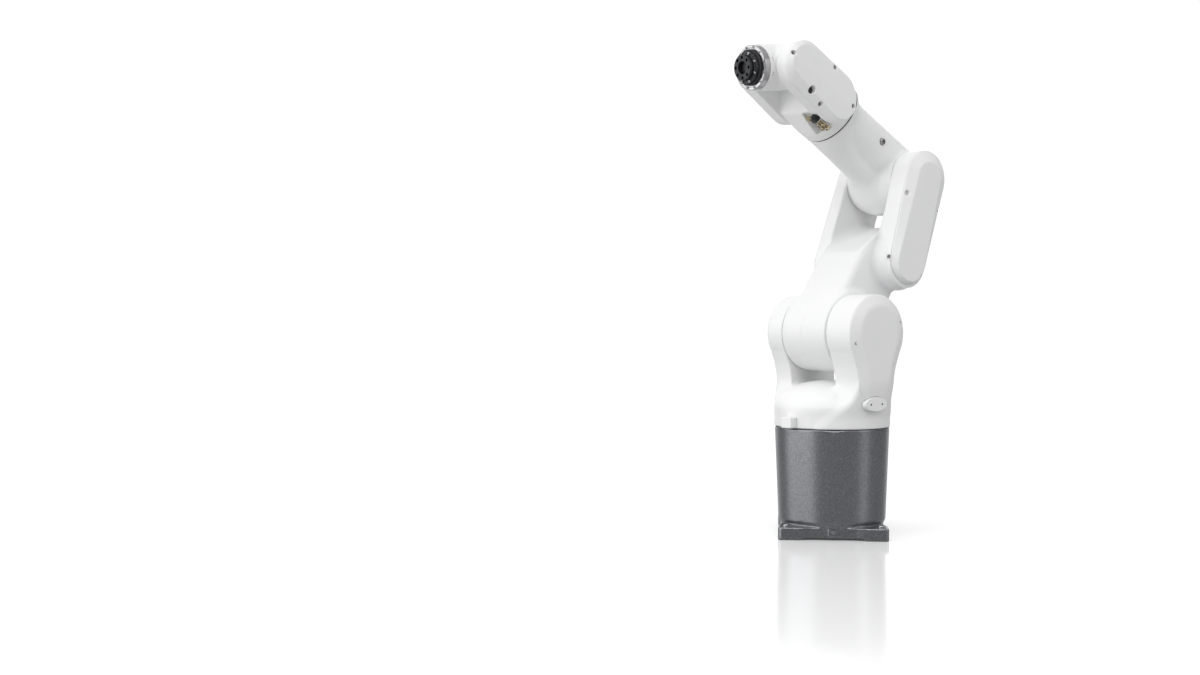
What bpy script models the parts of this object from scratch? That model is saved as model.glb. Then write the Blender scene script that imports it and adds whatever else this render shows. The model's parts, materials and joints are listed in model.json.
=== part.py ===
"""Small six-axis industrial robot arm, built as an assembly of separate pieces.

Every piece is modelled in the frame of the link that carries it, in millimetres:
x points forward along the link or the reach, y to the arm's own right, z up.
The links hang on a chain of empties that stand on the six joint axes.
"""

import math

import bmesh
import bpy
from mathutils import Matrix

MM = 0.001
GAP = 0.3

# Arm geometry: distances between the joint axes.
SHOULDER_HEIGHT = 330.0
UPPER_ARM = 290.0
ELBOW_OFFSET = 20.0
FOREARM = 310.0
FLANGE_REACH = 75.0

# Pose at rest, in degrees.
A1_TURN = -136.4
A2_LEAN = -28.7
A3_LIFT = -0.4
A4_ROLL = -4.9
A5_BEND = 35.2

# Base.
BASE_WIDTH = 175.0
BASE_TOP = 176.0
PAD_HEIGHT = 20.0
BAY_DEPTH = 5.0
DRUM_FOOT_R = 87.0
DRUM_TOP_R = 93.0
RELIEF = 3.0
FLOOR_PLATE_R = 60.0
REAR_BOX_Y = 112.0
PANEL_SIZE = (104.0, 120.0)
PANEL_Z = 84.0
FOOT_BOLT_XY = 75.0

# Column, between the base and the shoulder.
COLUMN_BOTTOM = 177.0
RIM_R = 94.0
EAR_R = 61.5
EAR_LEFT = (-93.4, -54.1)
EAR_RIGHT = (46.5, 97.8)
COLUMN_COVER_OUT = 106.1
COLUMN_COVER_FLAT_INSET = 17.0
WAIST = 40.0
WAIST_Z = 246.0
PORT_CAP_XZ = (5.0, 217.0)
PORT_CAP_HALF = (25.0, 11.6)
PORT_CAP_Y = (94.5, 103.5)

# Upper arm, between the shoulder and the elbow.
BARREL_Y = (-53.3, 45.7)
BARREL_R = 64.0
BARREL_STEP_Y = -7.0
BARREL_STEP_R = 62.0
FORK_LEFT = (-78.0, -54.3)
FORK_RIGHT = (42.4, 76.0)
FORK_R = 46.0
ARM_COVER_OUT = 86.4
ARM_COVER_FLAT_INSET = 17.0
LEFT_COVER_OUT = -84.0
MOTOR_XZ = (-29.0, 147.0)
MOTOR_BULGE_R = 49.0
LEFT_FOOT_XZ = (-20.0, 138.0)
LEFT_FOOT_R = 47.0
SWING_R = 66.0
SWINGS = (
    ("front_swing_guide", (66.0, 262.0), 92.0),
    ("down_swing_guide", (74.0, 159.6), 44.0),
    ("back_swing_guide", (-90.0, 284.0), 62.5),
)

# Forearm, between the elbow and the wrist.
HUB_R = 60.0
HUB_COLLAR_R = 45.5
HUB_Y = (-50.0, 41.6)
TUBE_R = 41.0
WRIST_SEAM_X = 177.0
WRIST_SEAM_R = 55.0
ELBOW_COVER_R = 50.0
FOREARM_BACK_X = -46.0

# Wrist and tool flange.
WRIST_EAR_R = 38.0
KNUCKLE_HALF = 36.2
WRIST_EAR_OUT = 60.0
WRIST_COVER_OUT = 70.0
WRIST_COVER_BACK = (228.0, 1.0)
WRIST_BACK_R = 37.0
KNUCKLE_R = 36.5
STEEL_RING_R = 35.0
NOSE_X = 46.0
RING_X = 58.0
FLANGE_R = 20.0
FLANGE_BORE_R = 10.0
FLANGE_HOLE_CIRCLE_R = 15.75
FLANGE_HOLE_R = 2.5


# ---------------------------------------------------------------- outlines

def arc(cu, cv, radius, start, stop, count):
    """Points along an arc, angles in degrees, both ends included."""
    step = math.radians(stop - start) / count
    first = math.radians(start)
    return [
        (cu + radius * math.cos(first + i * step), cv + radius * math.sin(first + i * step))
        for i in range(count + 1)
    ]


def slot_outline(c0, r0, c1, r1, count=9):
    """Outline of two circles joined by their outer tangents."""
    du, dv = c1[0] - c0[0], c1[1] - c0[1]
    heading = math.degrees(math.atan2(dv, du))
    spread = math.degrees(math.acos((r0 - r1) / math.hypot(du, dv)))
    far = arc(c1[0], c1[1], r1, heading - spread, heading + spread, count)
    near = arc(c0[0], c0[1], r0, heading + spread, heading + 360 - spread, count)
    return far + near


def ellipse(centre, half, grow=0.0, count=28):
    """Outline of an ellipse with the given half axes, grown by some amount."""
    turns = [2 * math.pi * i / count for i in range(count)]
    return [
        (centre[0] + (half[0] + grow) * math.cos(t), centre[1] + (half[1] + grow) * math.sin(t))
        for t in turns
    ]


def rounded_box(u0, u1, v0, v1, radius, count=4):
    """Outline of a rectangle with round corners."""
    corners = (
        (u1 - radius, v1 - radius, 0),
        (u0 + radius, v1 - radius, 90),
        (u0 + radius, v0 + radius, 180),
        (u1 - radius, v0 + radius, 270),
    )
    points = []
    for cu, cv, start in corners:
        points += arc(cu, cv, radius, start, start + 90, count)
    return points


def curve(p0, t0, p1, t1, count):
    """Cubic curve from p0 to p1 with the given end tangents, without its first point."""
    points = []
    for i in range(1, count + 1):
        s = i / count
        a, b = 2 * s**3 - 3 * s**2 + 1, s**3 - 2 * s**2 + s
        c, d = 1 - a, s**3 - s**2
        points.append(tuple(a * p0[k] + b * t0[k] + c * p1[k] + d * t1[k] for k in (0, 1)))
    return points


def inset(outline, amount):
    """Outline moved inwards by amount, corner by corner. The outline runs counter-clockwise."""
    moved = []
    total = len(outline)
    for i, (u, v) in enumerate(outline):
        pu, pv = outline[i - 1]
        nu, nv = outline[(i + 1) % total]
        before = (u - pu, v - pv)
        after = (nu - u, nv - v)
        lb, la = math.hypot(*before), math.hypot(*after)
        normal_b = (-before[1] / lb, before[0] / lb)
        normal_a = (-after[1] / la, after[0] / la)
        bu, bv = normal_b[0] + normal_a[0], normal_b[1] + normal_a[1]
        scale = amount * 2 / (bu * bu + bv * bv)
        moved.append((u + bu * scale, v + bv * scale))
    return moved


def column_ear(radius, waist, foot, rear_wall=False):
    """Side view of a column ear: a bulb on the shoulder axis, a waist and a flared foot.

    With a rear wall, the back edge runs straight down from the bulb instead of a waist.
    """
    end = 180 if rear_wall else 210
    bulb = arc(0, SHOULDER_HEIGHT, radius, -30, end, 16)
    fall = SHOULDER_HEIGHT - radius * 0.5 - WAIST_Z
    right = curve(bulb[0], (-0.55 * fall, -fall), (waist, WAIST_Z), (0, -fall), 4)
    right += curve((waist, WAIST_Z), (0, -45), (foot, 200), (55, -35), 3)
    right += [(foot, COLUMN_BOTTOM + 2)]
    left = [(-u, v) for u, v in right]
    if rear_wall:
        left = [(-radius, WAIST_Z), (-foot, 200), (-foot, COLUMN_BOTTOM + 2)]
    return bulb + left + right[::-1]


# ------------------------------------------------------------------ solids

def place(axis, u, v, h):
    """A point with plane coordinates u, v and height h along the named axis."""
    spots = {"X": (h, u, v), "Y": (u, h, v), "Z": (u, v, h)}
    return tuple(c * MM for c in spots[axis])


def finish(name, mesh_data, parent, material, smooth):
    """Turns a bmesh into a named object on its parent empty."""
    bmesh.ops.recalc_face_normals(mesh_data, faces=mesh_data.faces)
    mesh = bpy.data.meshes.new(name)
    mesh_data.to_mesh(mesh)
    mesh_data.free()
    if smooth:
        mesh.shade_smooth()
        mesh.set_sharp_from_angle(angle=math.radians(35))
    mesh.materials.append(material)
    item = bpy.data.objects.new(name, mesh)
    bpy.context.scene.collection.objects.link(item)
    item.parent = parent
    return item


def loft(name, parent, material, loops, closed=False, smooth=True):
    """Skin through loops of equal length, capped at both ends unless it closes on itself."""
    data = bmesh.new()
    rings = [[data.verts.new(p) for p in loop] for loop in loops]
    count = len(rings[0])
    pairs = list(zip(rings, rings[1:]))
    if closed:
        pairs.append((rings[-1], rings[0]))
    for low, high in pairs:
        for i in range(count):
            j = (i + 1) % count
            data.faces.new((low[i], low[j], high[j], high[i]))
    if not closed:
        data.faces.new(rings[0])
        data.faces.new(rings[-1])
    return finish(name, data, parent, material, smooth)


def lathe(name, parent, material, axis, profile, centre=(0, 0), steps=32):
    """Turned solid about an axis: profile holds (radius, height) pairs.

    A profile whose ends have radius 0 is a full solid, any other one is a closed ring.
    """
    solid = profile[0][0] == 0
    body = profile[1:-1] if solid else profile
    angles = [2 * math.pi * i / steps for i in range(steps)]
    loops = [
        [place(axis, centre[0] + r * math.cos(a), centre[1] + r * math.sin(a), h) for a in angles]
        for r, h in body
    ]
    return loft(name, parent, material, loops, closed=not solid)


def rod(name, parent, material, axis, radius, low, high, centre=(0, 0), steps=20):
    """Plain round bar."""
    profile = [(0, low), (radius, low), (radius, high), (0, high)]
    return lathe(name, parent, material, axis, profile, centre, steps)


def ring(name, parent, material, axis, inner, outer, low, high, centre=(0, 0), steps=18):
    """Plain round ring."""
    profile = [(inner, low), (outer, low), (outer, high), (inner, high)]
    return lathe(name, parent, material, axis, profile, centre, steps)


def prism(name, parent, material, axis, outline, low, high, low_bevel=None, high_bevel=None):
    """Outline pushed along an axis. A bevel is (inset, depth) at that end."""
    levels = [(outline, low), (outline, high)]
    if low_bevel:
        levels[0] = (outline, low + low_bevel[1])
        levels.insert(0, (inset(outline, low_bevel[0]), low))
    if high_bevel:
        levels[-1] = (outline, high - high_bevel[1])
        levels.append((inset(outline, high_bevel[0]), high))
    loops = [[place(axis, u, v, h) for u, v in points] for points, h in levels]
    return loft(name, parent, material, loops)


def box(name, parent, material, low, high):
    """Plain block between two corners."""
    outline = [(low[0], low[1]), (high[0], low[1]), (high[0], high[1]), (low[0], high[1])]
    return prism(name, parent, material, "Z", outline, low[2], high[2])


def combine(item, operation, *tools):
    """Adds one Boolean per tool, and turns each tool into a hidden guide."""
    for tool in tools:
        step = item.modifiers.new(tool.name, "BOOLEAN")
        step.operation = operation
        step.solver = "EXACT"
        step.object = tool
        tool.hide_render = True
        tool.display_type = "WIRE"
    return item


def cap_screw(name, parent, axis, head_r, height, seat, centre, out=1):
    """Socket head screw that stands on a face, with its socket open outwards."""
    top = seat + out * height
    floor = seat + out * height * 0.45
    bore = head_r * 0.48
    start = seat + out * GAP
    profile = [(0, start), (head_r, start), (head_r, top - out * 0.4), (head_r - 0.4, top)]
    profile += [(bore, top), (bore, floor), (0, floor)]
    return lathe(name, parent, STEEL, axis, profile, centre, 10)


# --------------------------------------------------------------- materials

def finish_material(name, colour, roughness, metallic):
    """Principled material of one plain finish."""
    material = bpy.data.materials.new(name)
    material.use_nodes = True
    shader = material.node_tree.nodes["Principled BSDF"]
    shader.inputs["Base Color"].default_value = (*colour, 1.0)
    shader.inputs["Roughness"].default_value = roughness
    shader.inputs["Metallic"].default_value = metallic
    material.diffuse_color = (*colour, 1.0)
    return material


# ------------------------------------------------------------------- frame

def empty(name, parent, location, rotation=None):
    """Empty on a joint axis, with its location in millimetres."""
    item = bpy.data.objects.new(name, None)
    bpy.context.scene.collection.objects.link(item)
    item.parent = parent
    turn = rotation if rotation else Matrix.Identity(4)
    item.matrix_local = Matrix.Translation([c * MM for c in location]) @ turn
    item.empty_display_size = 0.05
    return item


def turned(axis, degrees):
    """Rotation about a named axis."""
    return Matrix.Rotation(math.radians(degrees), 4, axis)


# -------------------------------------------------------------------- base

def plinth_outline():
    """Square foot seen from above, with a shallow bay in the middle of three sides."""
    half, corner = BASE_WIDTH / 2, 7.0
    flat, mouth = 35.0, 52.0
    back = -half + BAY_DEPTH
    side = [(-mouth, -half), (-flat, back), (flat, back), (mouth, -half)]
    points = []
    for quarter in range(4):
        cos, sin = ((1, 0), (0, 1), (-1, 0), (0, -1))[quarter]
        bay = [] if quarter == 2 else side
        run = bay + arc(half - corner, -half + corner, corner, -90, 0, 4)
        points += [(u * cos - v * sin, u * sin + v * cos) for u, v in run]
    return points


def make_base(base):
    """Foot, round drum, rear connector box and what bolts to them."""
    half = BASE_WIDTH / 2
    housing = prism(
        "base_housing", base, GREY, "Z", plinth_outline(), 0, PAD_HEIGHT, high_bevel=(1.0, 1.0)
    )
    drum = lathe(
        "drum_guide", base, GREY, "Z",
        [(0, 1), (half - BAY_DEPTH, 1), (half - BAY_DEPTH, PAD_HEIGHT),
         (DRUM_FOOT_R, PAD_HEIGHT + 7), (DRUM_TOP_R, BASE_TOP - 1), (DRUM_TOP_R - 1, BASE_TOP),
         (0, BASE_TOP)],
        steps=48,
    )
    rear = prism(
        "rear_guide", base, GREY, "Z", rounded_box(-64, 64, 40, REAR_BOX_Y, 10), 2, 160,
        high_bevel=(4.0, 4.0),
    )
    hollow = lathe(
        "hollow_guide", base, GREY, "Z",
        [(0, -5), (FLOOR_PLATE_R + GAP, -5), (FLOOR_PLATE_R + GAP, 5.3), (52, 5.3), (52, 12),
         (78, 24), (82, 160), (76, 166), (58, 166), (58, 200), (0, 200)],
        steps=40,
    )
    width, height = PANEL_SIZE
    bay = prism(
        "bay_guide", base, GREY, "Y",
        rounded_box(-width / 2, width / 2, PANEL_Z - height / 2, PANEL_Z + height / 2, 6),
        106 - GAP, REAR_BOX_Y + 5,
    )
    duct = prism("duct_guide", base, GREY, "Y", rounded_box(-44, 44, 32, 136, 6), 60, 109)
    mouth = 48.6
    across = box("relief_x_guide", base, GREY, (-half - 9, -mouth, -5), (half + 9, mouth, RELIEF))
    along = box("relief_y_guide", base, GREY, (-mouth, -half - 9, -5), (mouth, 140, RELIEF))
    screw_face = -half + BAY_DEPTH - 2
    screw_pad = box("screw_pad_guide", base, GREY, (-7, screw_face, 6), (7, screw_face + 6, 19))
    combine(housing, "UNION", drum, rear, screw_pad)
    combine(housing, "DIFFERENCE", hollow, bay, duct, across, along)
    for i, (sx, sy) in enumerate(((-1, -1), (1, -1), (1, 1), (-1, 1)), 1):
        spot = (sx * FOOT_BOLT_XY, sy * FOOT_BOLT_XY)
        hole = rod(f"foot_hole_{i}_guide", base, GREY, "Z", 4.6, -5, 30, spot, 14)
        combine(housing, "DIFFERENCE", hole)
        head, top = 6.5, PAD_HEIGHT + 6.5
        lathe(
            f"foot_bolt_{i}", base, STEEL, "Z",
            [(0, 1), (4.1, 1), (4.1, PAD_HEIGHT + GAP), (head, PAD_HEIGHT + GAP), (head, top - 0.6),
             (head - 0.6, top), (3.1, top), (3.1, top - 3.5), (0, top - 3.5)],
            spot, 12,
        )
    rod("bottom_plate", base, DARK, "Z", FLOOR_PLATE_R, 0, 5, steps=40)
    cap_screw("ground_screw", base, "Y", 3.4, 2.6, screw_face, (0, 13), -1)
    make_base_connectors(base)
    make_base_drive(base)


def make_base_connectors(base):
    """Rear panel with its round connectors, network socket and two air fittings."""
    width, height = PANEL_SIZE
    out = 110.0
    panel = prism(
        "connector_panel", base, ALUMINIUM, "Y",
        rounded_box(
            -width / 2 + GAP, width / 2 - GAP,
            PANEL_Z - height / 2 + GAP, PANEL_Z + height / 2 - GAP, 6,
        ),
        106, out,
    )
    seat = out + GAP
    for name, x, z in (("power", -24, 112), ("signal", 24, 112)):
        hole = rod(f"{name}_hole_guide", base, DARK, "Y", 8.5, 100, 120, (x, z))
        combine(panel, "DIFFERENCE", hole)
        lathe(
            f"{name}_connector", base, DARK, "Y",
            [(0, seat), (16, seat), (16, seat + 4), (13, seat + 5), (13, seat + 22), (11, seat + 22),
             (11, seat + 6), (0, seat + 6)],
            (x, z), 24,
        )
    outline = rounded_box(-12, 12, 74, 92, 2, 2)
    socket = prism("network_socket", base, DARK, "Y", outline, seat, seat + 12)
    mouth = box("network_hole_guide", base, DARK, (-8, seat + 3, 77), (8, 140, 89))
    combine(socket, "DIFFERENCE", mouth)
    for i, x in enumerate((-28, 28), 1):
        lathe(
            f"air_inlet_{i}", base, BRASS, "Y",
            [(2.5, seat), (7, seat), (7, seat + 7), (5.6, seat + 8), (5.6, seat + 16),
             (2.5, seat + 16)],
            (x, 50), 12,
        )


def make_base_drive(base):
    """Motor and reduction gear of the base axis."""
    lathe(
        "a1_gear", base, STEEL, "Z",
        [(0, 132), (44, 132), (50, 138), (50, 150), (70, 150), (70, 166 - GAP), (58 - GAP, 166 - GAP),
         (58 - GAP, 176.4), (0, 176.4)],
        steps=24,
    )
    lathe(
        "a1_motor", base, DARK, "Z",
        [(0, 24), (27, 24), (30, 27), (30, 126), (22, 126), (22, 132 - GAP), (0, 132 - GAP)],
        steps=18,
    )


# ------------------------------------------------------------------ column

def column_envelope(parent, name, extra=0.0):
    """Round bowl that the lower column stays inside, from its rim up."""
    profile = [(0, COLUMN_BOTTOM), (RIM_R - 1.5, COLUMN_BOTTOM), (RIM_R, COLUMN_BOTTOM + 1.5),
               (RIM_R + 0.5, 196), (98, 212), (104, 232), (112, 252), (124, 280), (130, 300),
               (130, 420), (0, 420)]
    profile = [(r + extra if r else 0, h) for r, h in profile]
    return lathe(name, parent, WHITE, "Z", profile, steps=48)


def make_column(column):
    """Rotating column: round foot that splits into two ears round the shoulder axis."""
    dome_r, dome_z, dome_rise = RIM_R, 196.0, 56.0
    dome = [
        (dome_r * math.cos(math.radians(a)), dome_z + dome_rise * math.sin(math.radians(a)))
        for a in range(0, 90, 12)
    ]
    profile = [(0, COLUMN_BOTTOM), (RIM_R - 1.5, COLUMN_BOTTOM), (RIM_R, COLUMN_BOTTOM + 1.5)]
    profile += dome + [(0, dome_z + dome_rise)]
    casting = lathe("column_casting", column, WHITE, "Z", profile, steps=48)
    ear = column_ear(EAR_R, WAIST, 66)
    right = prism("right_ear_guide", column, WHITE, "Y", ear, *EAR_RIGHT, low_bevel=(1.5, 1.5))
    left = prism(
        "left_ear_guide", column, WHITE, "Y", column_ear(EAR_R, WAIST, 66, True), *EAR_LEFT,
        low_bevel=(5, 5), high_bevel=(1.5, 1.5),
    )
    shell = column_envelope(column, "envelope_guide")
    combine(casting, "UNION", right, left)
    combine(casting, "INTERSECT", shell)
    pocket = inset(ear, 7)
    right_pocket = prism("right_pocket_guide", column, WHITE, "Y", pocket, 60, EAR_RIGHT[1] + 20)
    floor = box("pocket_floor_guide", column, WHITE, (-90, 40, 150), (90, 130, 238))
    combine(right_pocket, "DIFFERENCE", floor)
    centre = (0, SHOULDER_HEIGHT)
    left_pocket = rod("left_pocket_guide", column, WHITE, "Y", 46, -120, -66, centre, 32)
    right_bore = rod("right_bore_guide", column, WHITE, "Y", 34, 40, 70, centre, 28)
    left_bore = rod("left_bore_guide", column, WHITE, "Y", 24 + GAP, -80, -40, centre, 24)
    foot_bore = rod("foot_bore_guide", column, WHITE, "Z", 44, 150, 232, (0, 0), 28)
    combine(casting, "DIFFERENCE", right_pocket, left_pocket, right_bore, left_bore, foot_bore)
    make_column_trim(column, casting, ear)
    lathe(
        "a2_motor", column, DARK, "Y",
        [(0, 50), (20, 50), (20, 61), (33, 61), (33, 94), (30, 97), (0, 97)],
        centre, 22,
    )
    ring("a2_bearing", column, STEEL, "Y", 15, 24, -65.5, -54.4, centre)


def make_column_trim(column, casting, ear):
    """Covers, base axis stop, oval port cap and the screws on the column."""
    seat = EAR_RIGHT[1] + GAP
    depth = COLUMN_COVER_OUT - seat
    cover = prism(
        "column_right_cover", column, WHITE, "Y", ear, seat, COLUMN_COVER_OUT,
        high_bevel=(COLUMN_COVER_FLAT_INSET, depth - 1.0),
    )
    combine(cover, "INTERSECT", column_envelope(column, "cover_envelope_guide"))
    centre = (0, SHOULDER_HEIGHT)
    lathe(
        "column_left_cover", column, WHITE, "Y",
        [(0, -99), (46, -99), (52, -96), (52, EAR_LEFT[0] - GAP), (0, EAR_LEFT[0] - GAP)],
        centre, 40,
    )
    inner, outer, side, top = 91.0, 104.0, 11.0, 195.0
    box("a1_stop", column, WHITE, (inner, -side, COLUMN_BOTTOM + 0.5), (outer, side, top))
    notch = box(
        "stop_notch_guide", column, WHITE, (inner - GAP, -side - GAP, 170), (120, side + GAP, top + GAP)
    )
    outline = ellipse(PORT_CAP_XZ, PORT_CAP_HALF)
    prism("port_cap", column, WHITE, "Y", outline, *PORT_CAP_Y, high_bevel=(1.2, 1.2))
    clear = ellipse(PORT_CAP_XZ, PORT_CAP_HALF, GAP)
    recess = prism("cap_recess_guide", column, WHITE, "Y", clear, PORT_CAP_Y[0] - GAP, 140)
    combine(casting, "DIFFERENCE", notch, recess)
    combine(cover, "DIFFERENCE", recess)


# --------------------------------------------------------------- upper arm

def make_upper_arm(arm):
    """Link between shoulder and elbow: barrel, stem, two fork ears and the motor bulge."""
    elbow = (0, UPPER_ARM)
    casting = lathe(
        "upper_arm_casting", arm, WHITE, "Y",
        [(0, BARREL_Y[0] - 8), (14.6, BARREL_Y[0] - 8), (14.6, BARREL_Y[0]),
         (BARREL_STEP_R - 2, BARREL_Y[0]), (BARREL_STEP_R, BARREL_Y[0] + 2),
         (BARREL_STEP_R, BARREL_STEP_Y), (BARREL_R, BARREL_STEP_Y + 1.5), (BARREL_R, BARREL_Y[1] - 1.5),
         (BARREL_R - 1.5, BARREL_Y[1]), (0, BARREL_Y[1])],
        steps=48,
    )
    stem = prism(
        "stem_guide", arm, WHITE, "Y",
        slot_outline((0, 0), 60, (-10, 200), 46, 9), -52, 44, (6, 6), (4, 4),
    )
    left = prism(
        "left_fork_guide", arm, WHITE, "Y",
        slot_outline(elbow, FORK_R, LEFT_FOOT_XZ, LEFT_FOOT_R, 9), FORK_LEFT[0], -40,
    )
    right = prism(
        "right_fork_guide", arm, WHITE, "Y",
        slot_outline(elbow, FORK_R, MOTOR_XZ, MOTOR_BULGE_R, 9), *FORK_RIGHT,
    )
    bulge = lathe(
        "bulge_guide", arm, WHITE, "Y",
        [(0, 0), (MOTOR_BULGE_R - 8, 0), (MOTOR_BULGE_R, 8), (MOTOR_BULGE_R, 60), (0, 60)],
        MOTOR_XZ, 36,
    )
    combine(casting, "UNION", stem, bulge, left, right)
    swings = []
    for name, far, radius in SWINGS:
        outline = slot_outline(elbow, SWING_R, far, radius, 12)
        swings.append(prism(name, arm, WHITE, "Y", outline, FORK_LEFT[1], FORK_RIGHT[0]))
    barrel_bore = rod("barrel_bore_guide", arm, WHITE, "Y", 46, 0, 60, (0, 0), 32)
    motor_bore = rod("motor_bore_guide", arm, WHITE, "Y", 31, 4, 90, MOTOR_XZ, 28)
    gear_bore = rod("gear_bore_guide", arm, WHITE, "Y", 34, 30, 90, elbow, 28)
    pocket = prism(
        "belt_pocket_guide", arm, WHITE, "Y",
        slot_outline(elbow, FORK_R - 8, MOTOR_XZ, MOTOR_BULGE_R - 8, 10), 62, 90,
    )
    left_pocket = rod("elbow_left_pocket_guide", arm, WHITE, "Y", 34, -100, -66, elbow, 28)
    left_bore = rod("elbow_left_bore_guide", arm, WHITE, "Y", 20 + GAP, -70, -30, elbow, 24)
    combine(casting, "DIFFERENCE", *swings, barrel_bore, motor_bore, gear_bore, pocket)
    combine(casting, "DIFFERENCE", left_pocket, left_bore)
    make_upper_arm_covers(arm, elbow)
    make_elbow_drive(arm, elbow)


def make_upper_arm_covers(arm, elbow):
    """Belt cover with its screws on the right, plain cover on the left."""
    seat = FORK_RIGHT[1] + GAP
    outline = slot_outline(elbow, FORK_R, MOTOR_XZ, MOTOR_BULGE_R, 12)
    cover = prism(
        "upper_arm_right_cover", arm, WHITE, "Y", outline, seat, ARM_COVER_OUT,
        high_bevel=(ARM_COVER_FLAT_INSET, ARM_COVER_OUT - seat - 1.5),
    )
    screws = ((38, 262), (8, 137), (-41, 262), (-68, 137))
    for i, (x, z) in enumerate(screws, 1):
        spot = (x, z)
        well = rod(f"arm_screw_well_{i}_guide", arm, WHITE, "Y", 3.6, 79, 100, spot, 14)
        combine(cover, "DIFFERENCE", well)
        cap_screw(f"upper_arm_screw_{i}", arm, "Y", 3.0, 2.6, 79, spot)
    prism(
        "upper_arm_left_cover", arm, WHITE, "Y",
        slot_outline(elbow, FORK_R - 1, LEFT_FOOT_XZ, LEFT_FOOT_R - 1, 12),
        LEFT_COVER_OUT, FORK_LEFT[0] - GAP, low_bevel=(6, 5),
    )


def belt_loop(parent, name, c0, r0, c1, r1, low, high):
    """Toothless belt round two pulleys."""
    back = slot_outline(c0, r0 + 2.2, c1, r1 + 2.2, 10)
    face = slot_outline(c0, r0, c1, r1, 10)
    outer = prism(name, parent, RUBBER, "Y", back, low, high)
    inner = prism(f"{name}_guide", parent, RUBBER, "Y", face, low - 3, high + 3)
    return combine(outer, "DIFFERENCE", inner)


def pulley(parent, name, centre, radius, bore, low, high):
    """Belt pulley with a flange on its outer side."""
    return lathe(
        name, parent, ALUMINIUM, "Y",
        [(bore, low), (radius, low), (radius, high - 1), (radius + 1.8, high - 1), (radius + 1.8, high),
         (bore, high)],
        centre, 20,
    )


def make_elbow_drive(arm, elbow):
    """Motor, belt, pulleys and reduction gear of the elbow, with the far side's bearing."""
    lathe(
        "a3_motor", arm, DARK, "Y",
        [(0, 5), (27, 5), (30, 8), (30, 56), (16, 56), (16, 61), (5, 61), (5, 74), (0, 74)],
        MOTOR_XZ, 18,
    )
    lathe(
        "a3_gear", arm, STEEL, "Y",
        [(0, 43), (33.6, 43), (33.6, 61), (8, 61), (8, 74), (0, 74)],
        elbow, 22,
    )
    belt_loop(arm, "a3_belt", elbow, 22 + GAP, MOTOR_XZ, 12 + GAP, 65, 73)
    ring("a3_bearing", arm, STEEL, "Y", 11.3, 20, -65.6, -54.6, elbow)


# ----------------------------------------------------------------- forearm

def make_forearm(forearm):
    """Forearm casting: elbow hub, upper tube on the roll axis and a rib under it."""
    casting = lathe(
        "forearm_casting", forearm, WHITE, "Y",
        [(0, HUB_Y[0]), (ELBOW_COVER_R + 1, HUB_Y[0]), (HUB_R - 3, -36), (HUB_R, -16), (HUB_R - 3, 8),
         (HUB_R - 9, 24), (HUB_COLLAR_R, 36), (HUB_COLLAR_R, HUB_Y[1]), (0, HUB_Y[1])],
        steps=40,
    )
    axis_z = ELBOW_OFFSET
    tube = lathe(
        "tube_guide", forearm, WHITE, "X",
        [(0, FOREARM_BACK_X), (TUBE_R - 16, FOREARM_BACK_X), (TUBE_R - 11, FOREARM_BACK_X + 5),
         (TUBE_R - 4, FOREARM_BACK_X + 16), (TUBE_R - 0.5, FOREARM_BACK_X + 28),
         (TUBE_R, FOREARM_BACK_X + 38), (TUBE_R + 1, 150), (TUBE_R + 4, 162), (WRIST_SEAM_R - 2, 170),
         (WRIST_SEAM_R, WRIST_SEAM_X - GAP), (0, WRIST_SEAM_X - GAP)],
        (0, axis_z), 40,
    )
    sections = ((0, -13, -4, 36), (55, -12, -1, 37), (110, -9, 6, 39), (150, -4, 13, 45),
                (WRIST_SEAM_X - 2, 0, axis_z, WRIST_SEAM_R - 1))
    loops = [
        [place("X", u, v, x) for u, v in arc(y, z, radius, 0, 360 - 12, 29)]
        for x, y, z, radius in sections
    ]
    rib = loft("rib_guide", forearm, WHITE, loops)
    combine(casting, "UNION", tube, rib)
    gear_bore = rod("roll_gear_bore_guide", forearm, WHITE, "X", 40, 130, 200, (0, axis_z), 32)
    cap_r = TUBE_R - 17
    motor_bore = lathe(
        "roll_motor_bore_guide", forearm, WHITE, "X",
        [(0, FOREARM_BACK_X - 40), (cap_r + GAP, FOREARM_BACK_X - 40), (cap_r + GAP, FOREARM_BACK_X),
         (22, FOREARM_BACK_X), (22, 140), (0, 140)],
        (0, axis_z), 24,
    )
    combine(casting, "DIFFERENCE", gear_bore, motor_bore)
    lathe(
        "forearm_rear_cap", forearm, WHITE, "X",
        [(0, FOREARM_BACK_X - 4.5), (cap_r - 4, FOREARM_BACK_X - 4.5), (cap_r, FOREARM_BACK_X - 2),
         (cap_r, FOREARM_BACK_X - GAP), (0, FOREARM_BACK_X - GAP)],
        (0, axis_z), 24,
    )
    lathe(
        "elbow_cover", forearm, WHITE, "Y",
        [(0, HUB_Y[0] - 3.6), (ELBOW_COVER_R - 3, HUB_Y[0] - 3.6), (ELBOW_COVER_R, HUB_Y[0] - 1.5),
         (ELBOW_COVER_R, HUB_Y[0] - GAP), (0, HUB_Y[0] - GAP)],
        steps=36,
    )
    cap_screw("forearm_plug", forearm, "Y", 5.0, 2.5, TUBE_R + 1, (86, axis_z))
    lathe(
        "a4_motor", forearm, DARK, "X",
        [(0, -40), (19, -40), (21, -37), (21, 70), (10, 70), (10, 130 - GAP), (0, 130 - GAP)],
        (0, axis_z), 20,
    )
    lathe(
        "a4_gear", forearm, STEEL, "X",
        [(0, 130), (39.6, 130), (39.6, 172), (30, 176.4), (0, 176.4)],
        (0, axis_z), 24,
    )


# ------------------------------------------------------------------- wrist

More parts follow.
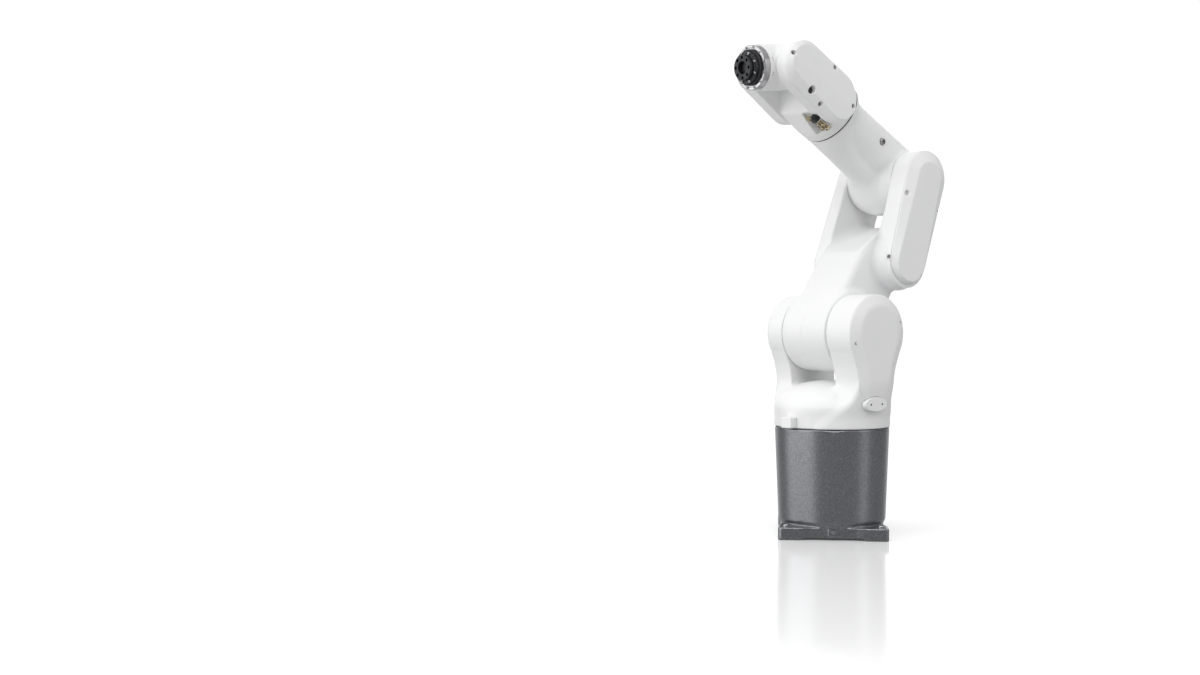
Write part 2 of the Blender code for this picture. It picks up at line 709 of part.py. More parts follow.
def make_wrist(wrist):
    """Wrist yoke: round root, two ears round the bend axis and the port bay between them."""
    bend = (FOREARM, 0)
    back = WRIST_COVER_BACK
    sections = (
        (WRIST_SEAM_X + GAP, WRIST_SEAM_R, WRIST_SEAM_R, -WRIST_SEAM_R, 2.0),
        (192, WRIST_SEAM_R, 52, -WRIST_SEAM_R, 2.1),
        (214, 54, 42, -50, 2.6),
        (240, 56, 36, -43, 3.2),
        (268, 58, 33, -36, 3.6),
    )
    loops = []
    for x, half, top, low, power in sections:
        middle, rise = (top + low) / 2, (top - low) / 2
        loop = []
        for i in range(36):
            angle = math.radians(10 * i)
            c, d = math.cos(angle), math.sin(angle)
            u = half * math.copysign(abs(c) ** (2 / power), c)
            v = middle + rise * math.copysign(abs(d) ** (2 / power), d)
            loop.append(place("X", u, v, x))
        loops.append(loop)
    casting = loft("wrist_casting", wrist, WHITE, loops)
    ear = slot_outline(bend, WRIST_EAR_R, back, WRIST_BACK_R, 9)
    right = prism("wrist_right_guide", wrist, WHITE, "Y", ear, 37, WRIST_EAR_OUT)
    left = prism("wrist_left_guide", wrist, WHITE, "Y", ear, -WRIST_EAR_OUT, -37)
    combine(casting, "UNION", right, left)
    throat, edge, reach = 265.0, 241.0, 70.0
    swing = prism(
        "knuckle_swing_guide", wrist, WHITE, "Y",
        [(throat, 0), (edge, -41.5), (edge, -reach), (FOREARM + reach, -reach),
         (FOREARM + reach, reach), (edge, reach), (edge, 41.5)],
        -37, 37,
    )
    pocket = slot_outline(bend, WRIST_EAR_R - 7, back, WRIST_BACK_R - 7, 9)
    right_pocket = prism("wrist_right_pocket_guide", wrist, WHITE, "Y", pocket, 47, 90)
    left_pocket = prism("wrist_left_pocket_guide", wrist, WHITE, "Y", pocket, -90, -47)
    motor_bore = rod("bend_motor_bore_guide", wrist, WHITE, "Y", 21, -36, 80, back, 24)
    gear_bore = rod("bend_gear_bore_guide", wrist, WHITE, "Y", 22, 30, 60, bend, 24)
    far_bore = rod("bend_far_bore_guide", wrist, WHITE, "Y", 18, -60, -30, bend, 24)
    bay = box("port_bay_guide", wrist, WHITE, (194, 14, -80), (236, 48, -39))
    combine(casting, "DIFFERENCE", swing, right_pocket, left_pocket)
    combine(casting, "DIFFERENCE", motor_bore, gear_bore, far_bore, bay)
    box("port_block", wrist, ALUMINIUM, (196, 18, -39 - GAP - 3), (234, 44, -39 - GAP))
    seat = -39 - GAP - 3 - GAP
    lathe(
        "wrist_connector", wrist, DARK, "Z",
        [(0, seat - 9), (5, seat - 9), (5, seat - 4), (6.5, seat - 4), (6.5, seat), (0, seat)],
        (224, 32), 14,
    )
    ports = box("air_ports", wrist, BRASS, (198, 21, seat - 2), (216, 42, seat))
    for i, (x, y) in enumerate(((202, 26), (202, 37), (212, 26), (212, 37)), 1):
        port = ring(f"air_port_{i}_guide", wrist, BRASS, "Z", 1.8, 3.6, seat - 7, seat - 1, (x, y), 10)
        combine(ports, "UNION", port)
    outline = slot_outline(bend, WRIST_EAR_R, back, WRIST_BACK_R, 10)
    seat = WRIST_EAR_OUT + GAP
    prism(
        "wrist_right_cover", wrist, WHITE, "Y", outline, seat, WRIST_COVER_OUT,
        high_bevel=(9, WRIST_COVER_OUT - seat - 1.5),
    )
    prism(
        "wrist_left_cover", wrist, WHITE, "Y", outline, -WRIST_COVER_OUT, -seat,
        low_bevel=(9, WRIST_COVER_OUT - seat - 1.5),
    )
    lathe(
        "a5_motor", wrist, DARK, "Y",
        [(0, -34), (18, -34), (20, -32), (20, 44), (5, 44), (5, 57), (0, 57)], back, 18,
    )
    lathe(
        "a5_gear", wrist, STEEL, "Y",
        [(0, 37.3), (21.7, 37.3), (21.7, 46), (6, 46), (6, 57), (0, 57)], bend, 18,
    )
    belt_loop(wrist, "a5_belt", bend, 17 + GAP, back, 12 + GAP, 49, 56)
    ring("a5_bearing", wrist, STEEL, "Y", 10.3, 17.7, -46, -37.3, bend)


# ------------------------------------------------------ knuckle and flange

def make_knuckle(knuckle):
    """Bending head: barrel on the bend axis and a round nose with the last gear's steel ring."""
    casting = lathe(
        "knuckle_casting", knuckle, WHITE, "Y",
        [(0, -46), (10, -46), (10, -KNUCKLE_HALF), (KNUCKLE_R, -KNUCKLE_HALF),
         (KNUCKLE_R, KNUCKLE_HALF), (0, KNUCKLE_HALF)],
        steps=40,
    )
    nose = rod("nose_guide", knuckle, WHITE, "X", KNUCKLE_R, 0, NOSE_X, steps=36)
    bore = rod("nose_bore_guide", knuckle, WHITE, "X", 24, -26, 60, steps=28)
    combine(casting, "UNION", nose)
    combine(casting, "DIFFERENCE", bore)
    rod("a6_motor", knuckle, DARK, "X", 22, -22, NOSE_X - 8, steps=20)
    lathe(
        "steel_ring", knuckle, CHROME, "X",
        [(24, NOSE_X + GAP), (STEEL_RING_R, NOSE_X + GAP), (STEEL_RING_R, RING_X - 1),
         (STEEL_RING_R - 1, RING_X), (24, RING_X)],
        steps=36,
    )
    ring("flange_seal", knuckle, RUBBER, "X", 22.5, 28.5, RING_X + GAP, RING_X + 4)
    plate = prism(
        "knuckle_plate", knuckle, WHITE, "Y",
        rounded_box(38.8, 45, -16, 16, 2, 3), 29, KNUCKLE_HALF + 1,
    )
    round_face = rod("plate_round_guide", knuckle, WHITE, "X", KNUCKLE_R + GAP, 0, 60, steps=36)
    combine(plate, "INTERSECT", round_face)
    clear = prism(
        "plate_clear_guide", knuckle, WHITE, "Y",
        rounded_box(38.8 - GAP, 60, -16 - GAP, 16 + GAP, 2, 3), 29 - GAP, 60,
    )
    combine(casting, "DIFFERENCE", clear)


def make_flange(flange):
    """Tool flange with its adapter: all that turns about the last axis."""
    back = RING_X + 4.3 - FLANGE_REACH
    lathe(
        "flange_adapter", flange, DARK, "X",
        [(0, -36), (22, -36), (22, back), (26, back), (26, back + 5.5), (0, back + 5.5)], steps=28,
    )
    disc = lathe(
        "tool_flange", flange, DARK, "X",
        [(FLANGE_BORE_R, back + 5.5 + GAP), (FLANGE_R, back + 5.5 + GAP), (FLANGE_R, -0.8),
         (FLANGE_R - 0.8, 0), (FLANGE_BORE_R, 0)],
        steps=32,
    )
    for i in range(8):
        angle = math.radians(45 * i)
        spot = (FLANGE_HOLE_CIRCLE_R * math.cos(angle), FLANGE_HOLE_CIRCLE_R * math.sin(angle))
        hole = rod(f"flange_hole_{i}_guide", flange, DARK, "X", FLANGE_HOLE_R, -6, 5, spot, 10)
        combine(disc, "DIFFERENCE", hole)


# ---------------------------------------------------------------- assembly

for leftover in list(bpy.data.objects):
    bpy.data.objects.remove(leftover)

WHITE = finish_material("white_paint", (0.80, 0.81, 0.82), 0.42, 0.0)
GREY = finish_material("grey_metallic_paint", (0.16, 0.17, 0.18), 0.4, 0.6)
DARK = finish_material("black_steel", (0.03, 0.03, 0.035), 0.4, 0.5)
STEEL = finish_material("bright_steel", (0.55, 0.55, 0.56), 0.3, 1.0)
CHROME = finish_material("polished_steel", (0.75, 0.75, 0.76), 0.12, 1.0)
ALUMINIUM = finish_material("cast_aluminium", (0.6, 0.6, 0.61), 0.35, 1.0)
BRASS = finish_material("brass", (0.6, 0.45, 0.22), 0.3, 1.0)
RUBBER = finish_material("black_rubber", (0.02, 0.02, 0.02), 0.8, 0.0)

BASE = empty("base_frame", None, (0, 0, 0))
COLUMN = empty("a1_axis", BASE, (0, 0, 0), turned("Z", A1_TURN))
ARM = empty("a2_axis", COLUMN, (0, 0, SHOULDER_HEIGHT), turned("Y", A2_LEAN))
FOREARM_FRAME = empty("a3_axis", ARM, (0, 0, UPPER_ARM), turned("Y", A3_LIFT))
WRIST = empty("a4_axis", FOREARM_FRAME, (0, 0, ELBOW_OFFSET), turned("X", A4_ROLL))
KNUCKLE = empty("a5_axis", WRIST, (FOREARM, 0, 0), turned("Y", A5_BEND))
FLANGE = empty("a6_axis", KNUCKLE, (FLANGE_REACH, 0, 0))
A3_MOTOR_AXIS = empty("a3_motor_axis", ARM, (MOTOR_XZ[0], 0, MOTOR_XZ[1]))
A3_GEAR_AXIS = empty("a3_gear_axis", ARM, (0, 0, UPPER_ARM))
A5_MOTOR_AXIS = empty("a5_motor_axis", WRIST, (WRIST_COVER_BACK[0], 0, WRIST_COVER_BACK[1]))
A5_GEAR_AXIS = empty("a5_gear_axis", WRIST, (FOREARM, 0, 0))

make_base(BASE)
make_column(COLUMN)
make_upper_arm(ARM)
pulley(A3_MOTOR_AXIS, "a3_motor_pulley", (0, 0), 12, 5 + GAP, 62, 75)
pulley(A3_GEAR_AXIS, "a3_gear_pulley", (0, 0), 22, 8 + GAP, 62, 75)
make_forearm(FOREARM_FRAME)
make_wrist(WRIST)
pulley(A5_MOTOR_AXIS, "a5_motor_pulley", (0, 0), 12, 5 + GAP, 48, 57.5)
pulley(A5_GEAR_AXIS, "a5_gear_pulley", (0, 0), 17, 6 + GAP, 48, 57.5)
make_knuckle(KNUCKLE)
make_flange(FLANGE)
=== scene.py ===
import json
import math

import bmesh
import bpy
import numpy as np
from mathutils import Matrix, Vector


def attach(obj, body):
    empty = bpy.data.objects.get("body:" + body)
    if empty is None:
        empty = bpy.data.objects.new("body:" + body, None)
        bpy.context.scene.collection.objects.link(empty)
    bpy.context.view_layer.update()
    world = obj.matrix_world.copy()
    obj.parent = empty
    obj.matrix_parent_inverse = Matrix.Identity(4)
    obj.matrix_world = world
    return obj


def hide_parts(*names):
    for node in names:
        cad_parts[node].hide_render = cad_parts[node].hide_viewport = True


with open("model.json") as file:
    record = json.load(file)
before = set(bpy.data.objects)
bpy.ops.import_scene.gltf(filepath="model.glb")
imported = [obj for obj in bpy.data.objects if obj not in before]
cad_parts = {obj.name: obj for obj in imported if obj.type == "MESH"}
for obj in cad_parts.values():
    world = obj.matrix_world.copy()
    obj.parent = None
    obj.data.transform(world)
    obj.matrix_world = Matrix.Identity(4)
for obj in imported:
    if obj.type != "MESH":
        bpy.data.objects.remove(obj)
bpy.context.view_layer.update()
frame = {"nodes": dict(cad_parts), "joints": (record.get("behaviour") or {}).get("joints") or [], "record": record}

COARSE = 1.0
SETTLE_ROUNDS = 3
SHARP_ANGLE = 30
SOCKET_SIDES = 6
SCREW_STEPS = 24

# ------------------------------------------------------------ link frames
# Each link has its own frame in millimetres, read from the joints: x runs forward
# along the link, y to the arm's own right, z up.

JOINTS = {joint["name"]: joint for joint in frame["joints"]}


def link(origin, x=None, y=None, z=None):
    """Matrix from a link's millimetres to the world's metres, from two of its axes."""
    if x is None:
        x = Vector(y).cross(Vector(z))
    x = Vector(x).normalized()
    if y is None:
        y = Vector(z).cross(x)
    z = x.cross(Vector(y)).normalized()
    y = z.cross(x)
    turn = Matrix((x, y, z)).transposed().to_4x4()
    return Matrix.Translation(Vector(origin)) @ turn @ Matrix.Scale(0.001, 4)


def axis_of(name, sign=1):
    """Direction of a joint's axis."""
    return Vector(JOINTS[name]["axis"]) * sign


def origin_of(name):
    """A point on a joint's axis."""
    return Vector(JOINTS[name]["pos_m"])


RIGHT = axis_of("joint_2")
BEND = axis_of("joint_5", -1)
UP = Vector((0, 0, 1))
BASE = (link((0, 0, 0), x=(1, 0, 0), y=(0, 1, 0)), "base")
COLUMN = (link((0, 0, 0), y=RIGHT, z=UP), "column")
ALONG_ARM = origin_of("joint_3") - origin_of("joint_2")
ARM = (link(origin_of("joint_2"), y=RIGHT, z=ALONG_ARM), "upper_arm")
FOREARM = (link(origin_of("joint_3"), x=axis_of("joint_4"), y=RIGHT), "forearm")
WRIST = (link(origin_of("joint_4"), x=axis_of("joint_4"), y=BEND), "wrist")
KNUCKLE = (link(origin_of("joint_5"), x=axis_of("joint_6"), y=BEND), "knuckle")
FLANGE = (link(origin_of("joint_6"), x=axis_of("joint_6"), y=BEND), "flange")


# ------------------------------------------------------- solid modelling
# A casting is written as a field: a function of x, y and z that is negative inside,
# close to the distance from the surface, so that fillets have a true radius.

def join(a, b, r=6.0):
    """Union with a fillet of radius r."""
    corner = np.hypot(np.maximum(r - a, 0), np.maximum(r - b, 0))
    return np.maximum(np.minimum(a, b), r) - corner


def meet(a, b, r=1.5):
    """Intersection with an edge rounded to radius r."""
    corner = np.hypot(np.maximum(a + r, 0), np.maximum(b + r, 0))
    return np.minimum(np.maximum(a, b), -r) + corner


def cut(a, b, r=1.5):
    """What is left of a outside b, with its new edges rounded."""
    return meet(a, -b, r)


def slab(w, low, high):
    """Between two parallel planes."""
    return np.maximum(low - w, w - high)


def disc(u, v, centre, radius):
    """Inside a circle."""
    return np.hypot(u - centre[0], v - centre[1]) - radius


def taper(u, v, c0, r0, c1, r1):
    """Inside two circles joined by their outer tangents."""
    du, dv = c1[0] - c0[0], c1[1] - c0[1]
    length = math.hypot(du, dv)
    du, dv = du / length, dv / length
    along = (u - c0[0]) * du + (v - c0[1]) * dv
    across = np.abs((v - c0[1]) * du - (u - c0[0]) * dv)
    sine = (r0 - r1) / length
    cosine = math.sqrt(1 - sine * sine)
    reach = along * cosine - across * sine
    near = np.hypot(along, across) - r0
    far = np.hypot(along - length, across) - r1
    side = across * cosine + along * sine - r0
    return np.where(reach < 0, near, np.where(reach > length * cosine, far, side))


def soft_box(u, v, half_u, half_v, radius):
    """Inside a rectangle with round corners."""
    qu, qv = np.abs(u) - half_u + radius, np.abs(v) - half_v + radius
    outside = np.hypot(np.maximum(qu, 0), np.maximum(qv, 0))
    return outside + np.minimum(np.maximum(qu, qv), 0) - radius


def chamfered(outline, w, low, high, width, depth, edge=2.5):
    """Plate from low to high whose high face has a chamfer of that width and depth."""
    plate = meet(outline, slab(w, low, high), 0.8)
    length = math.hypot(width, depth)
    slope = (outline * depth + (w - high + depth) * width) / length
    return meet(plate, slope, edge)


def bevelled(outer, inner, w, low, rim, high, edge=0.8):
    """Plate with outline outer whose sides slope up from the rim to a smaller flat, inner."""
    width = inner - outer
    rise = (high - rim) * np.clip(-outer / width, -2, 3)
    slope = (w - rim - rise) * width / np.hypot(width, high - rim)
    plate = meet(outer, slab(w, low, high), 0.8)
    return meet(plate, slope, edge)


def outline_field(points):
    """Signed distance from a closed outline, as a function of u and v."""
    start = np.array(points, float)
    step = np.roll(start, -1, axis=0) - start

    def field(u, v):
        u, v = np.broadcast_arrays(u, v)
        best = np.full(u.shape, np.inf)
        inside = np.zeros(u.shape, bool)
        for (pu, pv), (du, dv) in zip(start, step):
            eu, ev = u - pu, v - pv
            t = np.clip((eu * du + ev * dv) / (du * du + dv * dv), 0, 1)
            best = np.minimum(best, (eu - t * du) ** 2 + (ev - t * dv) ** 2)
            if dv != 0:
                crosses = ((pv <= v) != (pv + dv <= v)) & (u < pu + (v - pv) * du / dv)
                inside ^= crosses
        return np.where(inside, -np.sqrt(best), np.sqrt(best))

    return field


def smooth_profile(stations, values):
    """Smooth curve through (station, value) pairs, as a function."""
    stations, values = np.array(stations, float), np.array(values, float)
    slopes = np.gradient(values, stations)

    def profile(s):
        s = np.clip(s, stations[0], stations[-1])
        i = np.clip(np.searchsorted(stations, s) - 1, 0, len(stations) - 2)
        h = stations[i + 1] - stations[i]
        t = (s - stations[i]) / h
        a, b = 2 * t**3 - 3 * t**2 + 1, (t**3 - 2 * t**2 + t) * h
        c, d = 3 * t**2 - 2 * t**3, (t**3 - t**2) * h
        return a * values[i] + b * slopes[i] + c * values[i + 1] + d * slopes[i + 1]

    return profile


def skin(field, low, high, step):
    """Closed quad mesh of the surface where the field is zero: points and faces."""
    lines = [np.arange(low[k] - 1.5 * step, high[k] + 2.5 * step, step) for k in range(3)]
    shape = [len(line) for line in lines]
    x, y, z = np.meshgrid(*lines, indexing="ij", sparse=True)
    value = np.array(np.broadcast_to(field(x, y, z), shape))
    for k in range(3):
        for end in (0, -1):
            border = [slice(None)] * 3
            border[k] = end
            value[tuple(border)] = step
    inside = value < 0
    cells = [n - 1 for n in shape]
    total = np.zeros((3, *cells))
    count = np.zeros(cells, np.int32)
    crossings = []
    for k in range(3):
        lo = [slice(None)] * 3
        hi = [slice(None)] * 3
        lo[k], hi[k] = slice(None, -1), slice(1, None)
        edges = np.argwhere(inside[tuple(lo)] != inside[tuple(hi)])
        ahead = edges.copy()
        ahead[:, k] += 1
        f0, f1 = value[tuple(edges.T)], value[tuple(ahead.T)]
        spot = edges.astype(float)
        spot[:, k] += f0 / (f0 - f1)
        p, q = [a for a in range(3) if a != k]
        for dp in (0, 1):
            for dq in (0, 1):
                cell = edges.copy()
                cell[:, p] -= dp
                cell[:, q] -= dq
                np.add.at(count, tuple(cell.T), 1)
                for a in range(3):
                    np.add.at(total[a], tuple(cell.T), spot[:, a])
        crossings.append((k, p, q, edges, f0 < 0))
    used = np.argwhere(count > 0)
    number = np.full(cells, -1, np.int64)
    number[tuple(used.T)] = np.arange(len(used))
    points = np.stack([total[a][tuple(used.T)] / count[tuple(used.T)] for a in range(3)], axis=1)
    points = points * step + np.array([line[0] for line in lines])
    faces = []
    for k, p, q, edges, out in crossings:
        corners = []
        for dp, dq in ((1, 1), (0, 1), (0, 0), (1, 0)):
            cell = edges.copy()
            cell[:, p] -= dp
            cell[:, q] -= dq
            corners.append(number[tuple(cell.T)])
        quad = np.stack(corners, axis=1)
        flip = out if k == 1 else ~out
        quad[flip] = quad[flip][:, ::-1]
        faces.append(quad)
    return settle(field, points, step), np.concatenate(faces)


def settle(field, points, step):
    """Moves the points onto the surface along the field's gradient."""
    delta = 0.02 * step
    for _ in range(SETTLE_ROUNDS):
        here = field(*points.T)
        slope = np.stack(
            [field(*(points + delta * np.eye(3)[k]).T) - here for k in range(3)], axis=1
        ) / delta
        steepness = np.maximum((slope**2).sum(axis=1), 0.05)
        move = -(here / steepness)[:, None] * slope
        length = np.linalg.norm(move, axis=1)
        move *= np.minimum(1, 0.6 * step / np.maximum(length, 1e-9))[:, None]
        points = points + move
    return points


def new_object(name, points, faces, place, material):
    """Object from points in a link's frame, riding on that link's body."""
    matrix, body = place
    local = np.array(matrix)
    world = np.asarray(points) @ local[:3, :3].T + local[:3, 3]
    mesh = bpy.data.meshes.new(name)
    mesh.from_pydata(world.tolist(), [], [list(map(int, face)) for face in faces])
    mesh.validate()
    mesh.shade_smooth()
    mesh.materials.append(material)
    item = bpy.data.objects.new(name, mesh)
    bpy.context.scene.collection.objects.link(item)
    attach(item, body)
    return item


def trim(item, place, point, normal):
    """Cuts away what lies on the normal's side of a plane and caps the cut."""
    matrix = place[0]
    data = bmesh.new()
    data.from_mesh(item.data)
    turned = (matrix.to_3x3() @ Vector(normal)).normalized()
    found = bmesh.ops.bisect_plane(
        data, geom=data.verts[:] + data.edges[:] + data.faces[:], dist=1e-7,
        plane_co=matrix @ Vector(point), plane_no=turned, clear_outer=True,
    )
    rim = [e for e in found["geom_cut"] if isinstance(e, bmesh.types.BMEdge)]
    for edge in rim:
        edge.smooth = False
    caps = bmesh.ops.holes_fill(data, edges=rim, sides=0)["faces"]
    for face in caps:
        face.smooth = False
    data.to_mesh(item.data)
    data.free()


def casting(name, place, field, low, high, step, material, nodes=(), planes=()):
    """A field made into an object that stands for CAD nodes, cut by planes if asked."""
    points, faces = skin(field, low, high, step * COARSE)
    item = new_object(name, points, faces, place, material)
    for point, normal in planes:
        trim(item, place, point, normal)
    if nodes:
        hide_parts(*nodes)
    return item


def turn_angles(steps):
    """Evenly spaced angles of one full turn."""
    return [2 * math.pi * i / steps for i in range(steps)]


def on_axis(axis, centre, radius, angle, height):
    """Point at a radius and angle about an axis through centre, at a height along it.

    The centre is given as (x, y) for Z, (y, z) for X and (z, x) for Y.
    """
    u, v = centre[0] + radius * math.cos(angle), centre[1] + radius * math.sin(angle)
    return {"X": (height, u, v), "Y": (v, height, u), "Z": (u, v, height)}[axis]


def ring_faces(rings, steps):
    """Faces between neighbouring rings of points, with both ends capped."""
    faces = []
    for k in range(rings - 1):
        low, high = k * steps, (k + 1) * steps
        for i in range(steps):
            j = (i + 1) % steps
            faces.append((low + i, low + j, high + j, high + i))
    last = (rings - 1) * steps
    faces.append(list(range(steps))[::-1])
    faces.append(list(range(last, last + steps)))
    return faces


def tidy_normals(item):
    """Faces out, with sharp edges kept sharp."""
    data = bmesh.new()
    data.from_mesh(item.data)
    bmesh.ops.remove_doubles(data, verts=data.verts, dist=1e-6)
    bmesh.ops.recalc_face_normals(data, faces=data.faces)
    data.to_mesh(item.data)
    data.free()
    item.data.set_sharp_from_angle(angle=math.radians(SHARP_ANGLE))


def turned_part(name, place, axis, profile, centre, material, steps=64, nodes=()):
    """Lathe work: (radius, height) pairs turned about an axis through centre."""
    points = [
        on_axis(axis, centre, radius, angle, height)
        for radius, height in profile for angle in turn_angles(steps)
    ]
    item = new_object(name, points, ring_faces(len(profile), steps), place, material)
    tidy_normals(item)
    if nodes:
        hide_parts(*nodes)
    return item


def screw(name, place, axis, seat, centre, radius, height, material, out=1):
    """Socket screw head that stands on a face, with a six-sided socket."""
    bore = radius * 0.5
    top = seat + out * height
    head = [
        (radius, seat), (radius, top - out * 0.25 * radius), (radius * 0.85, top),
        (bore * 1.12, top),
    ]
    side = math.pi / SOCKET_SIDES
    points = [
        on_axis(axis, centre, r, angle, h) for r, h in head for angle in turn_angles(SCREW_STEPS)
    ]
    for h in (top - out * 0.05 * radius, top - out * 0.62 * height):
        for angle in turn_angles(SCREW_STEPS):
            turn = (angle + side) % (2 * side) - side
            points.append(on_axis(axis, centre, bore / math.cos(turn), angle, h))
    faces = ring_faces(len(head) + 2, SCREW_STEPS)
    item = new_object(name, points, faces, place, material)
    tidy_normals(item)
    return item


# -------------------------------------------------------------- materials

def new_material(name, slot):
    """Principled material, its node tree and its shader."""
    material = bpy.data.materials.new(name)
    material.use_nodes = True
    material["slot"] = slot
    return material, material.node_tree, material.node_tree.nodes["Principled BSDF"]


def node(tree, kind, **values):
    """Shader node with its inputs and settings."""
    item = tree.nodes.new(kind)
    for key, value in values.items():
        if key in item.inputs:
            item.inputs[key].default_value = value
        else:
            setattr(item, key, value)
    return item


def object_noise(tree, scale, detail):
    """Noise in the object's own metres."""
    place = node(tree, "ShaderNodeTexCoord")
    noise = node(tree, "ShaderNodeTexNoise", Scale=scale, Detail=detail)
    tree.links.new(place.outputs["Object"], noise.inputs["Vector"])
    return noise.outputs["Fac"]


def ramp(tree, source, stops):
    """Colour ramp with (position, colour) stops."""
    item = node(tree, "ShaderNodeValToRGB")
    tree.links.new(source, item.inputs["Fac"])
    elements = item.color_ramp.elements
    while len(elements) < len(stops):
        elements.new(0.5)
    for element, (position, colour) in zip(elements, stops):
        element.position = position
        element.color = (*colour, 1.0)
    return item.outputs["Color"]


def spread(tree, source, low, high):
    """Maps 0..1 to low..high."""
    item = node(tree, "ShaderNodeMapRange")
    item.inputs["To Min"].default_value = low
    item.inputs["To Max"].default_value = high
    tree.links.new(source, item.inputs["Value"])
    return item.outputs["Result"]


def bumps(tree, shader, *layers):
    """Stacked bump: (height, strength, distance) layers."""
    below = None
    for height, strength, distance in layers:
        item = node(tree, "ShaderNodeBump", Strength=strength, Distance=distance)
        tree.links.new(height, item.inputs["Height"])
        if below:
            tree.links.new(below, item.inputs["Normal"])
        below = item.outputs["Normal"]
    tree.links.new(below, shader.inputs["Normal"])


def white_paint():
    """Satin powder coat: a fine orange peel, with very slight tone drift."""
    material, tree, shader = new_material("white_coat", "white_paint")
    drift = object_noise(tree, 9.0, 3.0)
    grain = object_noise(tree, 1500.0, 2.0)
    tone = ramp(tree, drift, ((0.3, (0.86, 0.865, 0.87)), (0.7, (0.885, 0.885, 0.885))))
    tree.links.new(tone, shader.inputs["Base Color"])
    sheen = object_noise(tree, 60.0, 4.0)
    tree.links.new(spread(tree, sheen, 0.36, 0.48), shader.inputs["Roughness"])
    shader.inputs["IOR"].default_value = 1.46
    bumps(tree, shader, (grain, 0.10, 0.00025), (object_noise(tree, 420.0, 1.0), 0.06, 0.0006))
    return material


def grey_paint():
    """Dark metallic paint: fine flakes that vary in tone and tilt, under a thin clear coat."""
    material, tree, shader = new_material("grey_metallic_coat", "grey_metallic_paint")
    place = node(tree, "ShaderNodeTexCoord")
    flakes = node(tree, "ShaderNodeTexVoronoi", Scale=1400.0)
    tree.links.new(place.outputs["Object"], flakes.inputs["Vector"])
    tint = node(tree, "ShaderNodeSeparateColor")
    tree.links.new(flakes.outputs["Color"], tint.inputs["Color"])
    tone = ramp(
        tree, tint.outputs["Red"],
        ((0.0, (0.17, 0.175, 0.187)), (0.7, (0.23, 0.236, 0.25)), (1.0, (0.37, 0.378, 0.395))),
    )
    tree.links.new(tone, shader.inputs["Base Color"])
    shader.inputs["Metallic"].default_value = 0.92
    tree.links.new(spread(tree, tint.outputs["Green"], 0.27, 0.36), shader.inputs["Roughness"])
    shader.inputs["Coat Weight"].default_value = 0.1
    shader.inputs["Coat Roughness"].default_value = 0.22
    bumps(
        tree, shader,
        (tint.outputs["Blue"], 0.04, 0.0002), (object_noise(tree, 500.0, 2.0), 0.05, 0.0003),
    )
    return material


def metal(name, slot, colour, rough, scratches=0.12, metallic=1.0):
    """Machined or plated metal with fine wear in its gloss and tone."""
    material, tree, shader = new_material(name, slot)
    drift = object_noise(tree, 90.0, 4.0)
    darker = tuple(c * 0.82 for c in colour)
    tree.links.new(ramp(tree, drift, ((0.3, darker), (0.65, colour))), shader.inputs["Base Color"])
    shader.inputs["Metallic"].default_value = metallic
    fine = object_noise(tree, 900.0, 3.0)
    tree.links.new(spread(tree, fine, rough - 0.06, rough + 0.10), shader.inputs["Roughness"])
    bumps(tree, shader, (fine, scratches, 0.0002))
    return material


def rubber():
    """Matte black rubber and moulded plastic; the same black also serves as painted shade in the wrist seam, the
    deep hole and the knuckle's side holes.
    """
    material, tree, shader = new_material("matte_black", "black_rubber")
    fine = object_noise(tree, 1200.0, 2.0)
    tree.links.new(
        ramp(tree, fine, ((0.3, (0.012, 0.012, 0.013)), (0.7, (0.03, 0.03, 0.032)))),
        shader.inputs["Base Color"],
    )
    tree.links.new(spread(tree, fine, 0.55, 0.75), shader.inputs["Roughness"])
    bumps(tree, shader, (fine, 0.2, 0.0002))
    return material


WHITE = white_paint()
GREY = grey_paint()
DARK = metal("black_anodised", "black_steel", (0.045, 0.046, 0.05), 0.38, 0.15, 0.75)
STEEL = metal("bright_steel_finish", "bright_steel", (0.46, 0.46, 0.47), 0.28)
CHROME = metal("turned_steel", "polished_steel", (0.44, 0.44, 0.45), 0.16, 0.06)
ALUMINIUM = metal("machined_aluminium", "cast_aluminium", (0.66, 0.67, 0.68), 0.36)
BRASS = metal("nickel_brass", "brass", (0.62, 0.52, 0.36), 0.24)
RUBBER_AND_PAINTED_SHADE = rubber()
FINISHES = {
    "white_paint": WHITE, "grey_metallic_paint": GREY, "black_steel": DARK, "bright_steel": STEEL,
    "polished_steel": CHROME, "cast_aluminium": ALUMINIUM, "brass": BRASS, "black_rubber": RUBBER_AND_PAINTED_SHADE,
}
for entry in frame["record"]["subparts"]:
    part = frame["nodes"][entry["node"]]
    part.data.materials.clear()
    part.data.materials.append(FINISHES[entry["material_slot"]])


# ------------------------------------------------------------------- base

FOOT_HALF = 87.5
FOOT_TOP = 20.0
FOOT_SCREW = 75.0
BAY_HALF = 52.0
BAY_DEPTH = 5.0
BAY_RUN = 3.4
BAY_RUN_LENGTH = 3.54
TOE_R = 82.5
TOE_FLARE = (18.0, 27.0)
DRUM_GAIN = 6
DRUM_RISE = 149
DRUM_TOP = 176.0
REAR_TOP = 160.0
PANEL_Z = 84.0
PANEL_HALF = (52.0, 60.0)
FOOT_SCREWS = (
    (-FOOT_SCREW, -FOOT_SCREW), (FOOT_SCREW, -FOOT_SCREW),
    (FOOT_SCREW, FOOT_SCREW), (-FOOT_SCREW, FOOT_SCREW),
)
PANEL_SCREWS = ((-46, 30), (46, 30), (46, 138), (-46, 138))


